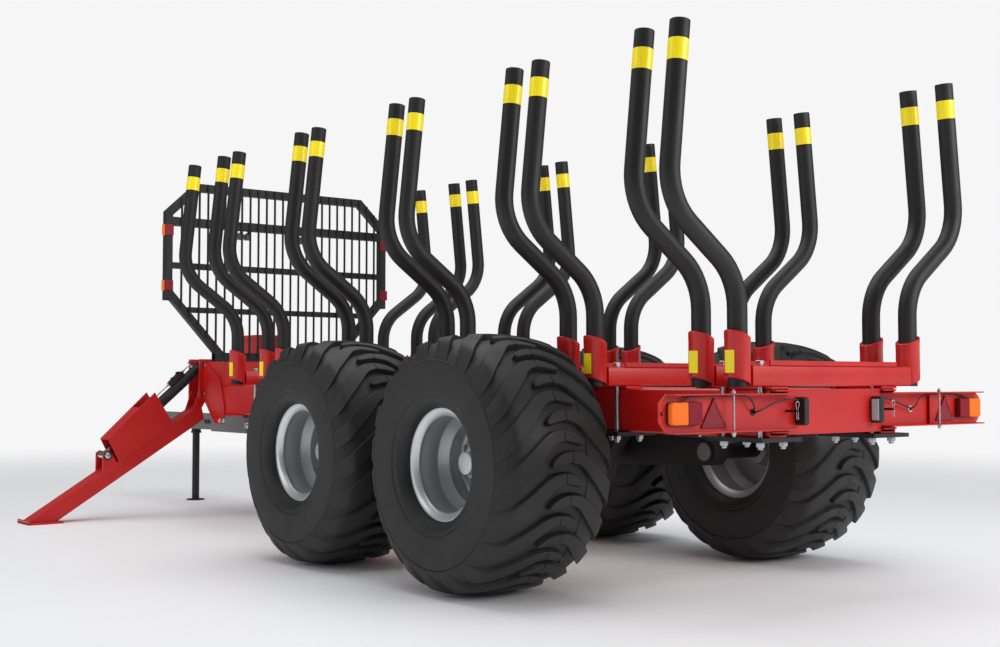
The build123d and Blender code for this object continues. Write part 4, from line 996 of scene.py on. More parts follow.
class TRAILER_OT_rear_lamps(bpy.types.Operator):
    """Tail lamps in two colours, red triangles and the two lamps beside the blank plate's place."""

    bl_idname = "trailer.rear_lamps"
    bl_label = "Rear lamps"

    def execute(self, context):
        backs, amber, red = bmesh.new(), bmesh.new(), bmesh.new()
        triangles, bodies, lenses = bmesh.new(), bmesh.new(), bmesh.new()
        for _, side in SIDES:
            seat = OUTER_WEB - LAMP_BACK_T
            for bm, outline, first, last in (
                (backs, LAMP_BACK, OUTER_WEB, seat),
                (amber, LAMP_AMBER, seat, LAMP_REAR),
                (red, LAMP_RED, seat, LAMP_REAR),
            ):
                across_plate(bm, [(side * x, z) for x, z in rounded(outline)], first, last)

            middle = Vector(TRIANGLE_MIDDLE)
            rim = [Vector(point) for point in rounded([(x, z, 9) for x, z in TRIANGLE], 3)]
            rings = []
            for inset, depth in TRIANGLE_RINGS:
                share = 1 - inset / TRIANGLE_INRADIUS
                ring = [middle + (point - middle) * share for point in rim]
                rings.append([spot(side * x, OUTER_WEB - depth, z) for x, z in ring])
            loft(triangles, rings)

            body = [(side * x, z) for x, z in rounded(PLATE_LAMP, 1)]
            across_plate(bodies, body, INNER_WEB, PLATE_LAMP_REAR)
            side_slab(lenses, side, PLATE_LENS_LOW, PLATE_LENS_HIGH)
        piece("tail_lamp_backs", backs, "abs", edge=1.5)
        piece("tail_lamps_amber", amber, "amber", replaces=["tail_lamps"], edge=3)
        piece("tail_lamps_red", red, "lens_red", edge=3)
        piece("rear_triangles", triangles, "prism_red", "root", ["rear_reflectors"])
        piece("plate_lamp_bodies", bodies, "abs", replaces=["plate_lamps"], edge=4)
        piece("plate_lamp_lenses", lenses, "clear_lens", edge=1.5)
        return {"FINISHED"}


# Lamp leads: 7 mm cable from a lamp to the hole in the web. Points in metres as (x, y from the datum, z)
LEAD_D = 0.007
LEADS = (
    (
        "lead_tail_lamp_left", 0.680,
        (
            (-1.0340, -1.9080, 0.9385), (-1.0060, -1.9080, 0.9630), (-0.9500, -1.9075, 0.9628),
            (-0.8930, -1.9065, 0.9625), (-0.7800, -1.9060, 0.9625), (-0.6940, -1.9060, 0.9630),
            (-0.6180, -1.9060, 0.9600), (-0.5750, -1.9060, 0.8900), (-0.5720, -1.8000, 0.8950),
            (-0.4550, -1.7900, 0.8950),
        ),
    ),
    (
        "lead_plate_lamp_left", 0.477,
        (
            (-0.2915, -1.9080, 0.9400), (-0.3060, -1.9080, 0.9415), (-0.3450, -1.9070, 0.9450),
            (-0.3890, -1.9060, 0.9450), (-0.4400, -1.9060, 0.9350), (-0.4870, -1.9060, 0.9200),
            (-0.5780, -1.9060, 0.8880), (-0.5740, -1.8000, 0.8850), (-0.4550, -1.7900, 0.8850),
        ),
    ),
    (
        "lead_plate_lamp_right", 0.476,
        (
            (0.2915, -1.9080, 0.9420), (0.3150, -1.9080, 0.9440), (0.3390, -1.9080, 0.9440),
            (0.3880, -1.9070, 0.9350), (0.4440, -1.9060, 0.9210), (0.4900, -1.9060, 0.9080),
            (0.5780, -1.9060, 0.8840), (0.5740, -1.8000, 0.8850), (0.4550, -1.7900, 0.8850),
        ),
    ),
    (
        "lead_tail_lamp_right", 0.654,
        (
            (1.0150, -1.9080, 0.9390), (1.0010, -1.9080, 0.9450), (0.9640, -1.9075, 0.9530),
            (0.8950, -1.9070, 0.9600), (0.8300, -1.9065, 0.9620), (0.7500, -1.9060, 0.9630),
            (0.6860, -1.9060, 0.9600), (0.6150, -1.9060, 0.9500), (0.5720, -1.9060, 0.8880),
            (0.5700, -1.8000, 0.8950), (0.4550, -1.7900, 0.8950),
        ),
    ),
)


class TRAILER_OT_lamp_leads(bpy.types.Operator):
    """The four leads between the rear lamps and the holes in the light channels."""

    bl_idname = "trailer.lamp_leads"
    bl_label = "Lamp leads"

    def execute(self, context):
        for name, real_length, points in LEADS:
            curve = bpy.data.curves.new(name, "CURVE")
            curve.dimensions, curve.bevel_depth, curve.bevel_resolution = "3D", LEAD_D / 2, 4
            curve.use_fill_caps = True
            spline = curve.splines.new("NURBS")
            spline.points.add(len(points) - 1)
            for place, (x, y, z) in zip(spline.points, points):
                place.co = (x, DATUM_Y + y, z, 1.0)
            spline.order_u = 3
            spline.use_endpoint_u = True
            spline.resolution_u = 12
            curve.materials.append(material("cable"))
            lead = bpy.data.objects.new(name, curve)
            context.scene.collection.objects.link(lead)
            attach(lead, "root")
            x, y, z = points[0]
        return {"FINISHED"}


# Fittings of the light channels: pins with their clips, tie rods, grommets and the sleeve's flanges
PIN_X, PIN_Z = 351.0, 893.0
PIN_SEAT, PIN_END, CLIP_Y = -1876.0, -1944.0, -1938.0
TIE_X, TIE_Y, TIE_PROUD = 747.0, -1928.0, 18.0
TIE_WASHER_T, TIE_NUT_T = 2.0, 8.0
HOLE_X, HOLE_Z = 573.0, 891.0
GROMMET_IN, GROMMET_OUT, GROMMET_T = 10.5, 16.0, 3.5
# The sleeve's flange plates: their outline as (x, y, rounding), and the levels of each one
FLANGE = ((336, -1850, 0), (450, -1850, 0), (450, -1900, 14), (336, -1900, 0))
FLANGE_LEVELS = ((978.0, 986.0), (796.0, 804.0))
# The clip's wire round its pin, as (outboard, up)
CLIP = (
    (1.0, -38.0), (0.0, 0.0), (-1.0, 16.0), (-6.0, 28.0), (-2.0, 40.0), (8.0, 44.0), (17.0, 38.0),
    (17.0, 26.0), (11.0, 16.0), (8.0, 5.0), (9.0, -4.0), (14.0, -14.0), (9.0, -24.0), (15.0, -36.0),
)


def ring_on_web(bm, centre, inner, outer, thick):
    """A flat ring round a hole, on the rear face of a web."""
    back = Vector((0, -thick * MM, 0))
    sizes = ((0, inner), (0, outer), (0.6, outer), (1, outer - 1.2), (1, inner + 1.2), (0.6, inner))
    loft(bm, [circle(centre + back * share, size * MM, 28) for share, size in sizes], loop=True)


class TRAILER_OT_rear_fittings(bpy.types.Operator):
    """Pins and spring clips, tie rods with nuts, grommets and flange plates of the light channels."""

    bl_idname = "trailer.rear_fittings"
    bl_label = "Rear fittings"

    def execute(self, context):
        pins, clips, ties = bmesh.new(), bmesh.new(), bmesh.new()
        flanges, pale_ring, dark_ring = bmesh.new(), bmesh.new(), bmesh.new()
        for _, side in SIDES:
            seat, end = [spot(side * PIN_X, y, PIN_Z) for y in (PIN_SEAT, PIN_END)]
            rod(pins, seat, end, 6 * MM, 16, chamfer=1.5 * MM)
            wire = [spot(side * PIN_X + out, CLIP_Y, PIN_Z + up) for out, up in rounded_table(CLIP, 2)]
            tube_along(clips, wire, 1.75 * MM, 8)
            low = spot(side * TIE_X, TIE_Y, CHANNEL_BOTTOM - TIE_PROUD)
            high = spot(side * TIE_X, TIE_Y, CHANNEL_TOP + TIE_PROUD)
            rod(ties, low, high, 5 * MM, 14, chamfer=1 * MM)
            for face, way in ((CHANNEL_TOP, 1), (CHANNEL_BOTTOM, -1)):
                seat = spot(side * TIE_X, TIE_Y, face)
                nut = seat + Vector((0, 0, way * TIE_WASHER_T * MM))
                end = nut + Vector((0, 0, way * TIE_NUT_T * MM))
                rod(ties, seat, nut, 10.5 * MM, 20)
                rod(ties, nut, end, 9.8 * MM, 6, chamfer=1 * MM)
            foot = CHANNEL_BOTTOM - TIE_WASHER_T - TIE_NUT_T
            dome(ties, spot(side * TIE_X, TIE_Y, foot), (0, 0, -1), 8 * MM, 10 * MM)
            for low, high in FLANGE_LEVELS:
                plate = [spot(side * x, y, low) for x, y in rounded(FLANGE, 1)]
                prism(flanges, plate, (0, 0, (high - low) * MM))
            ring = pale_ring if side > 0 else dark_ring
            hole = spot(side * HOLE_X, INNER_WEB, HOLE_Z)
            ring_on_web(ring, hole, GROMMET_IN, GROMMET_OUT, GROMMET_T)
        piece("channel_pins", pins, "abs")
        piece("channel_pin_clips", clips, "zinc", sharp=60)
        piece("channel_tie_rods", ties, "zinc")
        piece("channel_flange_plates", flanges, "red", edge=1.5)
        piece("cable_grommet_pale", pale_ring, "pale_plastic")
        piece("cable_grommet_dark", dark_ring, "abs")
        return {"FINISHED"}


# Headboard, in millimetres: tubes as four (x, z) corners, x outboard on each side
BOARD_REAR, BOARD_FRONT = 3372.0, 3432.0
BOARD_SIDE_TUBES = (
    ((906, 1620), (960, 1620), (960, 2277), (906, 2251)),
    ((906, 2251), (960, 2277), (721, 2502), (703, 2442)),
    ((485, 1236), (561, 1236), (912, 1620), (906, 1696)),
)
# Bars from side to side: (lowest, highest, reach)
BOARD_BARS = ((2175.0, 2239.0, 908.0), (1858.0, 1902.0, 908.0), (1534.0, 1574.0, 790.0))
BOARD_TOP_BAR = ((-721, 2502), (721, 2502), (703, 2442), (-703, 2442))
# The lowest bar's open end as (y, z), and its reach
BOARD_FOOT_MOUTH = ((3372.0, 1173.0), (3432.0, 1173.0), (3432.0, 1239.0), (3372.0, 1239.0))
BOARD_FOOT_REACH = 561.0
TUBE_WALL, TUBE_DEPTH = 5.0, 60.0
ROD_PITCH, ROD_R, ROD_HALF_COUNT = 70.0, 8.5, 12
# A rod's end, the x at which the sloping tubes begin to cut it, and the cut's rise per millimetre
ROD_TOP, ROD_TOP_CUT, ROD_TOP_RISE = 2496.0, 721.0, -0.941
ROD_FOOT, ROD_FOOT_CUT, ROD_FOOT_CUT_Z, ROD_FOOT_RISE = 1208.0, 523.0, 1239.0, 1.0855
# Marker lamps: the red face's inner edge, where amber begins, the outer edge, and how far they stand out
MARKER_IN, MARKER_SPLIT, MARKER_OUT, MARKER_PROUD = 903.0, 960.0, 971.0, 8.0
MARKER_HEIGHTS = ((2098.0, 2180.0), (1690.0, 1767.0))
# Work lamps: their middles, half their width, their levels, and the fins', neck's and shell's y
WORK_LAMPS, WORK_LAMP_HALF = (-322.0, -260.0, 211.0, 273.0), 24.0
WORK_LAMP_LOW, WORK_LAMP_HIGH = 2112.0, 2160.0
FIN_REAR, FIN_FRONT = 3424.0, 3433.0
NECK_REAR, SHELL_REAR, SHELL_FRONT = 3432.0, 3444.0, 3474.0
FIN_COUNT, FIN_PITCH, FIN_T, FIN_HALF = 4, 10.0, 3.5, 18.0


def tube_mouth(near, far):
    """The four corners of an upright tube's end, from the (x, z) of its two sides."""
    rows = ((near, BOARD_REAR), (far, BOARD_REAR), (far, BOARD_FRONT), (near, BOARD_FRONT))
    return [spot(x, y, z) for (x, z), y in rows]


def open_end(corners, way):
    """The rings of a square tube's hollow end, from its mouth's corners and the way out of the tube."""
    middle = sum(corners, Vector()) / len(corners)
    inner = [point + (middle - point).normalized() * TUBE_WALL * 1.4 * MM for point in corners]
    deep = [point - Vector(way) * TUBE_DEPTH * MM for point in inner]
    return [corners, inner, deep]


class TRAILER_OT_headboard(bpy.types.Operator):
    """Headboard of square tubes with open ends, its round rods, marker lamps and work lamps."""

    bl_idname = "trailer.headboard"
    bl_label = "Headboard"

    def execute(self, context):
        tubes, rods = bmesh.new(), bmesh.new()
        amber, red, lamps, brackets = bmesh.new(), bmesh.new(), bmesh.new(), bmesh.new()
        for _, side in SIDES:
            post, upper, lower = [
                [(side * x, z) for x, z in corners] for corners in BOARD_SIDE_TUBES
            ]
            for corners in (upper, lower):
                across_plate(tubes, corners, BOARD_REAR, BOARD_FRONT)
            foot_in, foot_out, head_out, head_in = post
            foot = tube_mouth(foot_in, foot_out)
            loft(tubes, [*open_end(foot, (0, 0, -1))[::-1], tube_mouth(head_in, head_out)])
            for low, high in MARKER_HEIGHTS:
                rear = BOARD_REAR - MARKER_PROUD
                side_slab(red, side, (MARKER_IN, rear, low), (MARKER_OUT, BOARD_REAR, high))
                front = BOARD_FRONT - MARKER_PROUD
                side_slab(amber, side, (MARKER_SPLIT, BOARD_REAR, low), (MARKER_OUT, front, high))
        for low, high, reach in BOARD_BARS:
            slab(tubes, (-reach, BOARD_REAR, low), (reach, BOARD_FRONT, high))
        across_plate(tubes, BOARD_TOP_BAR, BOARD_REAR, BOARD_FRONT)
        reach = BOARD_FOOT_REACH
        left, right = [
            [spot(x, y, z) for y, z in BOARD_FOOT_MOUTH] for x in (-reach, reach)
        ]
        loft(tubes, open_end(left, (-1, 0, 0))[::-1] + open_end(right, (1, 0, 0)))

        rod_y = BOARD_REAR - ROD_R * 0.7
        for number in range(-ROD_HALF_COUNT, ROD_HALF_COUNT + 1):
            x = abs(number) * ROD_PITCH
            low = ROD_FOOT
            if x >= ROD_FOOT_CUT:
                low = ROD_FOOT_CUT_Z + (x - ROD_FOOT_CUT) * ROD_FOOT_RISE
            high = ROD_TOP + max(0.0, x - ROD_TOP_CUT) * ROD_TOP_RISE
            foot, top = [spot(number * ROD_PITCH, rod_y, z) for z in (low, high)]
            rod(rods, foot, top, ROD_R * MM, 12)

        for lamp_x in WORK_LAMPS:
            left, right = lamp_x - WORK_LAMP_HALF, lamp_x + WORK_LAMP_HALF
            low, high = WORK_LAMP_LOW, WORK_LAMP_HIGH
            shell = rounded([(left, low, 10), (right, low, 10), (right, high, 6), (left, high, 6)])
            across_plate(lamps, shell, SHELL_REAR, SHELL_FRONT)
            middle = Vector((lamp_x, (low + high) / 2))
            neck = [middle + (corner - middle) * 0.8 for corner in shell]
            across_plate(lamps, neck, NECK_REAR, SHELL_REAR)
            for fin in range(FIN_COUNT):
                fin_z = low + 8 + fin * FIN_PITCH
                rear_low, front_high = (lamp_x - FIN_HALF, FIN_REAR), (lamp_x + FIN_HALF, FIN_FRONT)
                slab(lamps, (*rear_low, fin_z), (*front_high, fin_z + FIN_T))
            slab(brackets, (lamp_x - 12, 3432, high), (lamp_x + 12, 3462, high + 6))
            slab(brackets, (lamp_x - 12, 3428, high), (lamp_x + 12, 3434, high + 30))
        piece("headboard_tubes", tubes, "black", replaces=["headboard"], edge=4)
        piece("headboard_round_rods", rods, "black", replaces=["headboard_rods"])
        piece("headboard_markers_amber", amber, "amber", "root", ["headboard_lamps"], edge=3)
        piece("headboard_markers_red", red, "lens_red", edge=3)
        piece("work_lamps", lamps, "cast_grey", edge=1.5)
        piece("work_lamp_brackets", brackets, "black", edge=1)
        return {"FINISHED"}


# Stabilisers, in millimetres; x is outboard on each side
LEG_PIVOT, RAM_TOP, RAM_FOOT = (450.0, 928.0), (450.0, 1147.5), (1221.0, 472.0)
EAR_REAR, EAR_FRONT = 3752.0, 3948.0
RAM_LENGTH = ((RAM_FOOT[0] - RAM_TOP[0]) ** 2 + (RAM_FOOT[1] - RAM_TOP[1]) ** 2) ** 0.5
RAM_OUT, RAM_DOWN = (RAM_FOOT[0] - RAM_TOP[0]) / RAM_LENGTH, (RAM_TOP[1] - RAM_FOOT[1]) / RAM_LENGTH
RAM_Y = 3850.0
FOOT_OUT = 1811.0
LEG_REAR, LEG_FRONT, LEG_SLOPE = 3775.0, 3925.0, 32.2
# Guard over the ram, as (down the leg, above the line through its pivot)
GUARD_SIDE = ((342, 229), (500, 197), (832, 129), (850, -72), (342, -72))
GUARD_LID = ((500, 197), (832, 129), (831, 123), (499, 191))
GUARD_PROUD = 6.0
# The pipe beside the barrel, its ports, its unions and the valve block: (down the ram, above its axis)
PIPE_LINE = ((66, 40), (66, 66), (150, 66), (300, 62), (510, 62), (522, 40))
PORT_PLACES, PORT_LOW, PORT_HIGH = (66, 522), 38, 52
UNION_PLACES, UNION_ABOVE, UNION_LENGTH = (132, 296), 64, 22
VALVE_BLOCK, VALVE_HALF = (154, 296, 42, 84), 22.0
# Caps on the valve block: (down the ram, height, radius)
VALVE_CAPS = ((190, 10, 13), (250, 6, 10))
# Rings and domed ends of the pins: (ring's radius, ring's thickness, dome's radius, dome's height)
BRACKET_PIN, FOOT_PIN = (33, 8, 24, 13), (32, 4, 24, 12)
# The foot's turned-up edge, as its two corners
LIP_LOW, LIP_HIGH = (FOOT_OUT - 9, 3725.0, 2.0), (FOOT_OUT, 3975.0, 30.0)
# Domed bolts on the front beam's lug
LUG_BOLTS_Y, LUG_X, LUG_BOLT_Z = (3468.0, 3402.0), 471.0, 726.0


def on_leg(side, along, above, y):
    """A point of a lowered leg: millimetres down from its pivot, and above the line through it."""
    slope = radians(LEG_SLOPE)
    x = LEG_PIVOT[0] + along * cos(slope) + above * sin(slope)
    return spot(side * x, y, LEG_PIVOT[1] - along * sin(slope) + above * cos(slope))


def on_ram(side, along, above, y=RAM_Y):
    """A point beside a ram: millimetres down from its top pin, and above its axis."""
    x = RAM_TOP[0] + along * RAM_OUT + above * RAM_DOWN
    z = RAM_TOP[1] - along * RAM_DOWN + above * RAM_OUT
    return spot(side * x, y, z)


def domed_pin(rings, domes, seat, way, sizes, chamfer):
    """A pin's end on a plate: a ring on the plate and a dome on the ring."""
    ring_r, ring_t, dome_r, dome_h = [size * MM for size in sizes]
    out = Vector((0, way, 0))
    rod(rings, seat, seat + out * ring_t, ring_r, 32, chamfer=chamfer * MM)
    dome(domes, seat + out * ring_t, out, dome_r, dome_h, 32)


class TRAILER_OT_stabilisers(bpy.types.Operator):
    """Domed pins, rams' pipes and valve blocks, feet's turned-up edges, guards and lug bolts."""

    bl_idname = "trailer.stabilisers"
    bl_label = "Stabilisers"

    def execute(self, context):
        for word, side in SIDES:
            rings, domes = bmesh.new(), bmesh.new()
            for x, z in (LEG_PIVOT, RAM_TOP):
                for y, way in ((EAR_REAR, -1), (EAR_FRONT, 1)):
                    domed_pin(rings, domes, spot(side * x, y, z), way, BRACKET_PIN, 2)
            piece(f"bracket_pin_rings_{word}", rings, "abs")
            piece(f"bracket_pin_domes_{word}", domes, "zinc", sharp=50)

            barrel = f"ram_barrel_{word}"
            pipe, fittings, valve = bmesh.new(), bmesh.new(), bmesh.new()
            line = [on_ram(side, along, above) for along, above in PIPE_LINE]
            tube_along(pipe, rounded_table(line, 2), 5 * MM, 12)
            for along in PORT_PLACES:
                low, high = [on_ram(side, along, above) for above in (PORT_LOW, PORT_HIGH)]
                rod(fittings, low, high, 11 * MM, 6, chamfer=1.5 * MM)
            for along in UNION_PLACES:
                near, far = [on_ram(side, place, UNION_ABOVE) for place in (along, along + UNION_LENGTH)]
                rod(fittings, near, far, 9.5 * MM, 6, chamfer=1.5 * MM)
            tip = on_ram(side, *PIPE_LINE[1])
            rod(fittings, tip, on_ram(side, PIPE_LINE[1][0], 90), 7 * MM, 12, chamfer=1.5 * MM)
            prism(valve, valve_outline(side), (0, 2 * VALVE_HALF * MM, 0))
            for along, height, radius in VALVE_CAPS:
                low, high = [on_ram(side, along, VALVE_BLOCK[3] + rise) for rise in (0, height)]
                rod(valve, low, high, radius * MM, 6, chamfer=2 * MM)
            piece(f"ram_pipe_{word}", pipe, "zinc", barrel)
            piece(f"ram_fittings_{word}", fittings, "zinc", barrel)
            piece(f"ram_valve_{word}", valve, "abs", barrel, edge=2)

            leg = f"leg_{word}"
            lips = bmesh.new()
            side_slab(lips, side, LIP_LOW, LIP_HIGH)
            piece(f"foot_lip_{word}", lips, "red", leg, edge=3)

            pin_ends, pin_rings, guard = bmesh.new(), bmesh.new(), bmesh.new()
            for y, way in ((LEG_REAR, -1), (LEG_FRONT, 1)):
                seat = spot(side * RAM_FOOT[0], y, RAM_FOOT[1])
                domed_pin(pin_rings, pin_ends, seat, way, FOOT_PIN, 1)
                plate = [on_leg(side, along, above, y) for along, above in GUARD_SIDE]
                prism(guard, plate, (0, way * GUARD_PROUD * MM, 0))
            lid = [on_leg(side, along, above, LEG_REAR) for along, above in GUARD_LID]
            prism(guard, lid, (0, (LEG_FRONT - LEG_REAR) * MM, 0))
            piece(f"ram_foot_pins_{word}", pin_ends, "zinc", leg, sharp=50)
            piece(f"ram_foot_pin_rings_{word}", pin_rings, "abs", leg)
            piece(f"guard_plates_{word}", guard, "red", leg, [f"leg_guard_{word}"], edge=2)

            bolts = bmesh.new()
            for y in LUG_BOLTS_Y:
                seat = spot(side * LUG_X, y, LUG_BOLT_Z)
                head = seat + Vector((side * 3 * MM, 0, 0))
                rod(bolts, seat, head, 21 * MM, 24)
                dome(bolts, head, (side, 0, 0), 15 * MM, 12 * MM)
            piece(f"front_lug_bolts_{word}", bolts, "zinc", sharp=50)
        return {"FINISHED"}


def valve_outline(side):
    """The corners of the valve block that lies along a ram, on its rear side."""
    first, last, low, high = VALVE_BLOCK
    corners = ((first, low), (last, low), (last, high - 8), (first + 14, high), (first, high - 14))
    return [on_ram(side, along, above, RAM_Y - VALVE_HALF) for along, above in corners]


# Drawbar fittings, in millimetres
BOGIE_CAP_X = 511.0
BOGIE_CAP_R, BOGIE_CAP_T, BOGIE_CAP_PROUD = 50.0, 5.0, 2.0
# Latch on the drawbar's side: its levels, how deep and how far out it stands, and its bars' y
BAR_SIDE, LATCH_SUNK, LATCH_PROUD = 75.0, 3.0, 7.0
LATCH_LEVELS = (668.0, 702.0)
LATCH_BARS = ((4418.0, 4472.0), (4486.0, 4530.0), (4538.0, 4566.0))
# Collars round the jack's sleeve: (lower edge, upper edge, radius)
JACK_Y, JACK_BORE = 4890.0, 39.0
JACK_COLLARS = ((578.0, 590.0, 46.0), (764.0, 772.0, 46.0), (822.0, 834.0, 44.0))
# Nuts under the crane seat's plate
SEAT_Y, SEAT_NUT_Z, SEAT_HALF_SPACING = 3640.0, 1359.0, 110.0
SEAT_NUT_LOW, SEAT_NUT_HIGH, SEAT_NUT_R = -6.0, 1.0, 17.0


class TRAILER_OT_drawbar_fittings(bpy.types.Operator):
    """Bogie axle caps, the drawbar's latch, the crane seat's nuts and the jack's collars."""

    bl_idname = "trailer.drawbar_fittings"
    bl_label = "Drawbar fittings"

    def execute(self, context):
        caps = bmesh.new()
        for end_word, _ in ENDS:
            for word, side in SIDES:
                centre = wheel_centre(end_word, word)
                face = Vector((side * (BOGIE_CAP_X + BOGIE_CAP_PROUD) * MM, centre.y, centre.z))
                back = face - Vector((side * BOGIE_CAP_T * MM, 0, 0))
                rod(caps, face, back, BOGIE_CAP_R * MM, 40, chamfer=2 * MM)
        piece("bogie_axle_caps", caps, "cast_grey")

        latch = bmesh.new()
        near, far = BAR_SIDE - LATCH_SUNK, BAR_SIDE + LATCH_PROUD
        low, high = LATCH_LEVELS
        for _, side in SIDES:
            for rear, front in LATCH_BARS:
                side_slab(latch, side, (near, rear, low), (far, front, high))
        piece("drawbar_latch", latch, "abs", "drawbar", edge=2)

        nuts = bmesh.new()
        for x in (-SEAT_HALF_SPACING, SEAT_HALF_SPACING):
            for y in (SEAT_Y - SEAT_HALF_SPACING, SEAT_Y + SEAT_HALF_SPACING):
                low, high = [spot(x, y, SEAT_NUT_Z + rise) for rise in (SEAT_NUT_LOW, SEAT_NUT_HIGH)]
                rod(nuts, low, high, SEAT_NUT_R * MM, 6, chamfer=2 * MM)
        piece("crane_seat_nuts", nuts, "zinc")

        collars = bmesh.new()
        for low, high, radius in JACK_COLLARS:
            sizes = ((low, JACK_BORE), (low, radius), (high, radius), (high, JACK_BORE))
            rings = [circle(spot(0, JACK_Y, z), size * MM, 32, up=Vector((0, 1, 0))) for z, size in sizes]
            loft(collars, rings, loop=True)
        piece("jack_collars", collars, "abs", "drawbar", edge=1.5)
        return {"FINISHED"}


class TRAILER_OT_frame_finish(bpy.types.Operator):
    """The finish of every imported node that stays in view."""

    bl_idname = "trailer.frame_finish"
    bl_label = "Frame finish"

    def execute(self, context):
        slots = {row["node"]: row.get("material_slot") for row in frame["record"]["subparts"]}
        for name, node in NODES.items():
            finish = SLOT_FINISH[slots[name]]
            node.data.materials.clear()
            node.data.materials.append(material(finish))
        return {"FINISHED"}


# Studio
CAMERA_PLACE = (-4.893, -7.583, 1.025)
CAMERA_YAW, CAMERA_PITCH = 38.104, 2.541
CAMERA_LENS = 46.71
FLOOR_R, FLOOR_MIDDLE_R = 60.0, 0.5
# From here to there, counted from the middle, the floor fades into the surroundings
FADE_FROM, FADE_TO = 2.5, 13.0
SURROUNDINGS, LIGHT_TONE = "#F6F6F7", "#F4F6FA"
# The surroundings as the camera sees them, as they light the trailer, and as metal mirrors them
WORLD_TONES = ((SURROUNDINGS, 1.0), (LIGHT_TONE, 0.55), (LIGHT_TONE, 0.14))
# Soft boxes: name, place, aimed at, size, power in watts
SOFT_BOXES = (
    ("soft_box_over", (0.0, 0.0, 7.0), (0.0, 0.0, 0.5), (7.0, 9.0), 420.0),
    ("soft_box_left", (-8.0, 0.5, 3.6), (0.0, 0.5, 1.0), (3.0, 6.0), 110.0),
    ("soft_box_rear", (3.0, -9.5, 3.8), (0.0, -2.0, 1.1), (5.0, 3.0), 330.0),
)


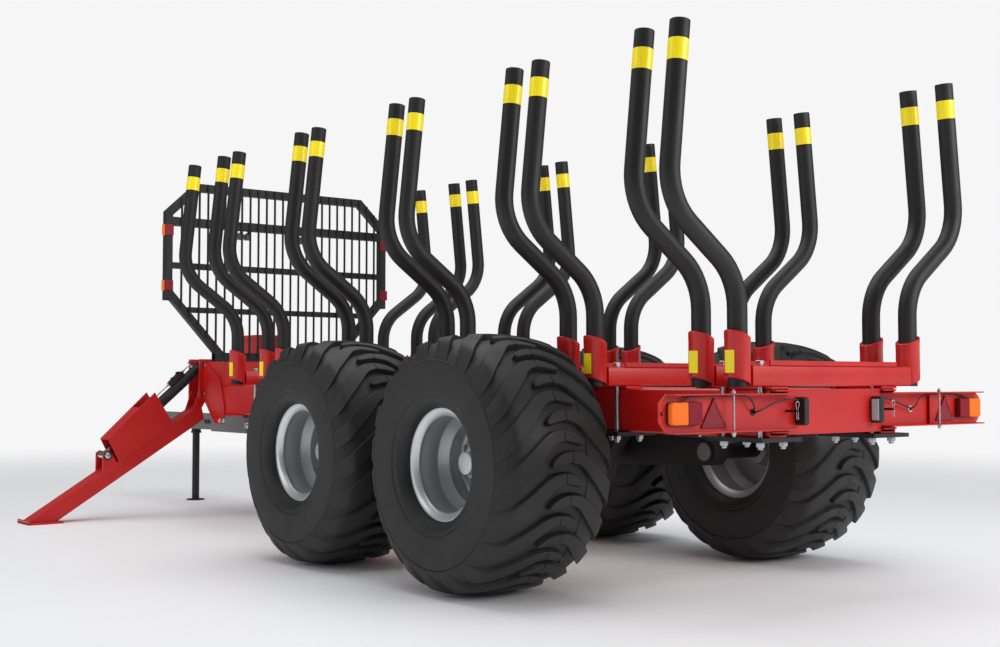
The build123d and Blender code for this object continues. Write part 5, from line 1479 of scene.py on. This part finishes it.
class TRAILER_OT_studio(bpy.types.Operator):
    """Camera, soft lights, pale floor and pale surroundings."""

    bl_idname = "trailer.studio"
    bl_label = "Studio"

    def execute(self, context):
        scene = context.scene
        scene.view_settings.view_transform = "Standard"
        lens = bpy.data.cameras.new("camera")
        lens.lens, lens.sensor_width, lens.clip_end = CAMERA_LENS, 36.0, 200.0
        camera = bpy.data.objects.new("camera", lens)
        camera.location = CAMERA_PLACE
        camera.rotation_euler = (radians(90 + CAMERA_PITCH), 0, -radians(CAMERA_YAW))
        scene.collection.objects.link(camera)
        scene.camera = camera

        for name, stand, target, size, power in SOFT_BOXES:
            light = bpy.data.lights.new(name, "AREA")
            light.shape, light.size, light.size_y, light.energy = "RECTANGLE", size[0], size[1], power
            lamp = bpy.data.objects.new(name, light)
            lamp.location = stand
            lamp.rotation_euler = (Vector(target) - Vector(stand)).to_track_quat("-Z", "Y").to_euler()
            scene.collection.objects.link(lamp)

        pale = context.scene.trailer_paint.floor
        world = bpy.data.worlds.new("studio")
        world.use_nodes = True
        tree = world.node_tree
        tree.nodes.clear()
        seen, lit, mirrored = [
            add(tree, "ShaderNodeBackground", {"Color": linear(code), "Strength": strength})
            for code, strength in WORLD_TONES
        ]
        path = add(tree, "ShaderNodeLightPath")
        glossy = add(
            tree,
            "ShaderNodeMixShader",
            {0: path.outputs["Is Glossy Ray"], 1: lit.outputs[0], 2: mirrored.outputs[0]},
        )
        mixed = add(
            tree,
            "ShaderNodeMixShader",
            {0: path.outputs["Is Camera Ray"], 1: glossy.outputs[0], 2: seen.outputs[0]},
        )
        add(tree, "ShaderNodeOutputWorld", {"Surface": mixed.outputs[0]})
        scene.world = world

        # Polished resin floor: pale, with a soft mirror, running out into the pale surroundings.
        ground, tree, place = start("studio_floor_resin")
        cloud = add(tree, "ShaderNodeTexNoise", {"Vector": place, "Scale": per(1800), "Detail": 3.0})
        resin = add(
            tree,
            "ShaderNodeBsdfPrincipled",
            {
                "Base Color": shade_between(tree, cloud.outputs[0], dim(pale, 0.97), pale),
                "Roughness": 0.38,
            },
        )
        far = add(tree, "ShaderNodeEmission", {"Color": linear(SURROUNDINGS), "Strength": 1.0})
        distance = add(tree, "ShaderNodeVectorMath", {0: place}, operation="LENGTH")
        fade = add(
            tree,
            "ShaderNodeMapRange",
            {"Value": distance.outputs["Value"], "From Min": FADE_FROM, "From Max": FADE_TO},
            interpolation_type="SMOOTHSTEP",
        )
        blended = {0: fade.outputs[0], 1: resin.outputs[0], 2: far.outputs[0]}
        finish_with(tree, add(tree, "ShaderNodeMixShader", blended))
        bm = bmesh.new()
        sizes = (FLOOR_MIDDLE_R, FLOOR_R)
        loft(bm, [circle(Vector(), size, 96, up=Vector((0, 1, 0))) for size in sizes], ends=False)
        bm.faces.new([vert for vert in bm.verts if vert.co.length < 2 * FLOOR_MIDDLE_R])
        mesh = bpy.data.meshes.new("floor")
        bmesh.ops.recalc_face_normals(bm, faces=bm.faces)
        bm.to_mesh(mesh)
        bm.free()
        mesh.materials.append(ground)
        floor = bpy.data.objects.new("floor", mesh)
        scene.collection.objects.link(floor)
        return {"FINISHED"}


OPERATORS = (
    TRAILER_OT_studio,
    TRAILER_OT_lamp_leads,
    TRAILER_OT_frame_finish,
    TRAILER_OT_tyres,
    TRAILER_OT_rims,
    TRAILER_OT_stakes,
    TRAILER_OT_bunks,
    TRAILER_OT_clamp_bolts,
    TRAILER_OT_rear_lamps,
    TRAILER_OT_rear_fittings,
    TRAILER_OT_headboard,
    TRAILER_OT_stabilisers,
    TRAILER_OT_drawbar_fittings,
)
SETTINGS = (
    ("trailer_paint", PaintSettings),
    ("trailer_tyre", TyreSettings),
    ("trailer_stake", StakeSettings),
    ("trailer_bunk", BunkSettings),
    ("trailer_bolt", BoltSettings),
)


class TRAILER_PT_panel(bpy.types.Panel):
    """Lists the trailer's pieces in the sidebar."""

    bl_idname = "TRAILER_PT_panel"
    bl_label = "Trailer"
    bl_space_type = "VIEW_3D"
    bl_region_type = "UI"
    bl_category = "Trailer"

    def draw(self, context):
        for operator in OPERATORS:
            self.layout.operator(operator.bl_idname)
        for name, group in SETTINGS:
            box = self.layout.box()
            for field in group.__annotations__:
                box.prop(getattr(context.scene, name), field)


def register():
    for name, group in SETTINGS:
        bpy.utils.register_class(group)
        setattr(bpy.types.Scene, name, bpy.props.PointerProperty(type=group))
    for operator in OPERATORS:
        bpy.utils.register_class(operator)
    bpy.utils.register_class(TRAILER_PT_panel)


def unregister():
    bpy.utils.unregister_class(TRAILER_PT_panel)
    for operator in reversed(OPERATORS):
        bpy.utils.unregister_class(operator)
    for name, group in reversed(SETTINGS):
        delattr(bpy.types.Scene, name)
        bpy.utils.unregister_class(group)


def main():
    register()
    for operator in OPERATORS:
        getattr(bpy.ops.trailer, operator.bl_idname.split(".")[1])()
    bpy.context.view_layer.update()


if __name__ == "__main__":
    main()
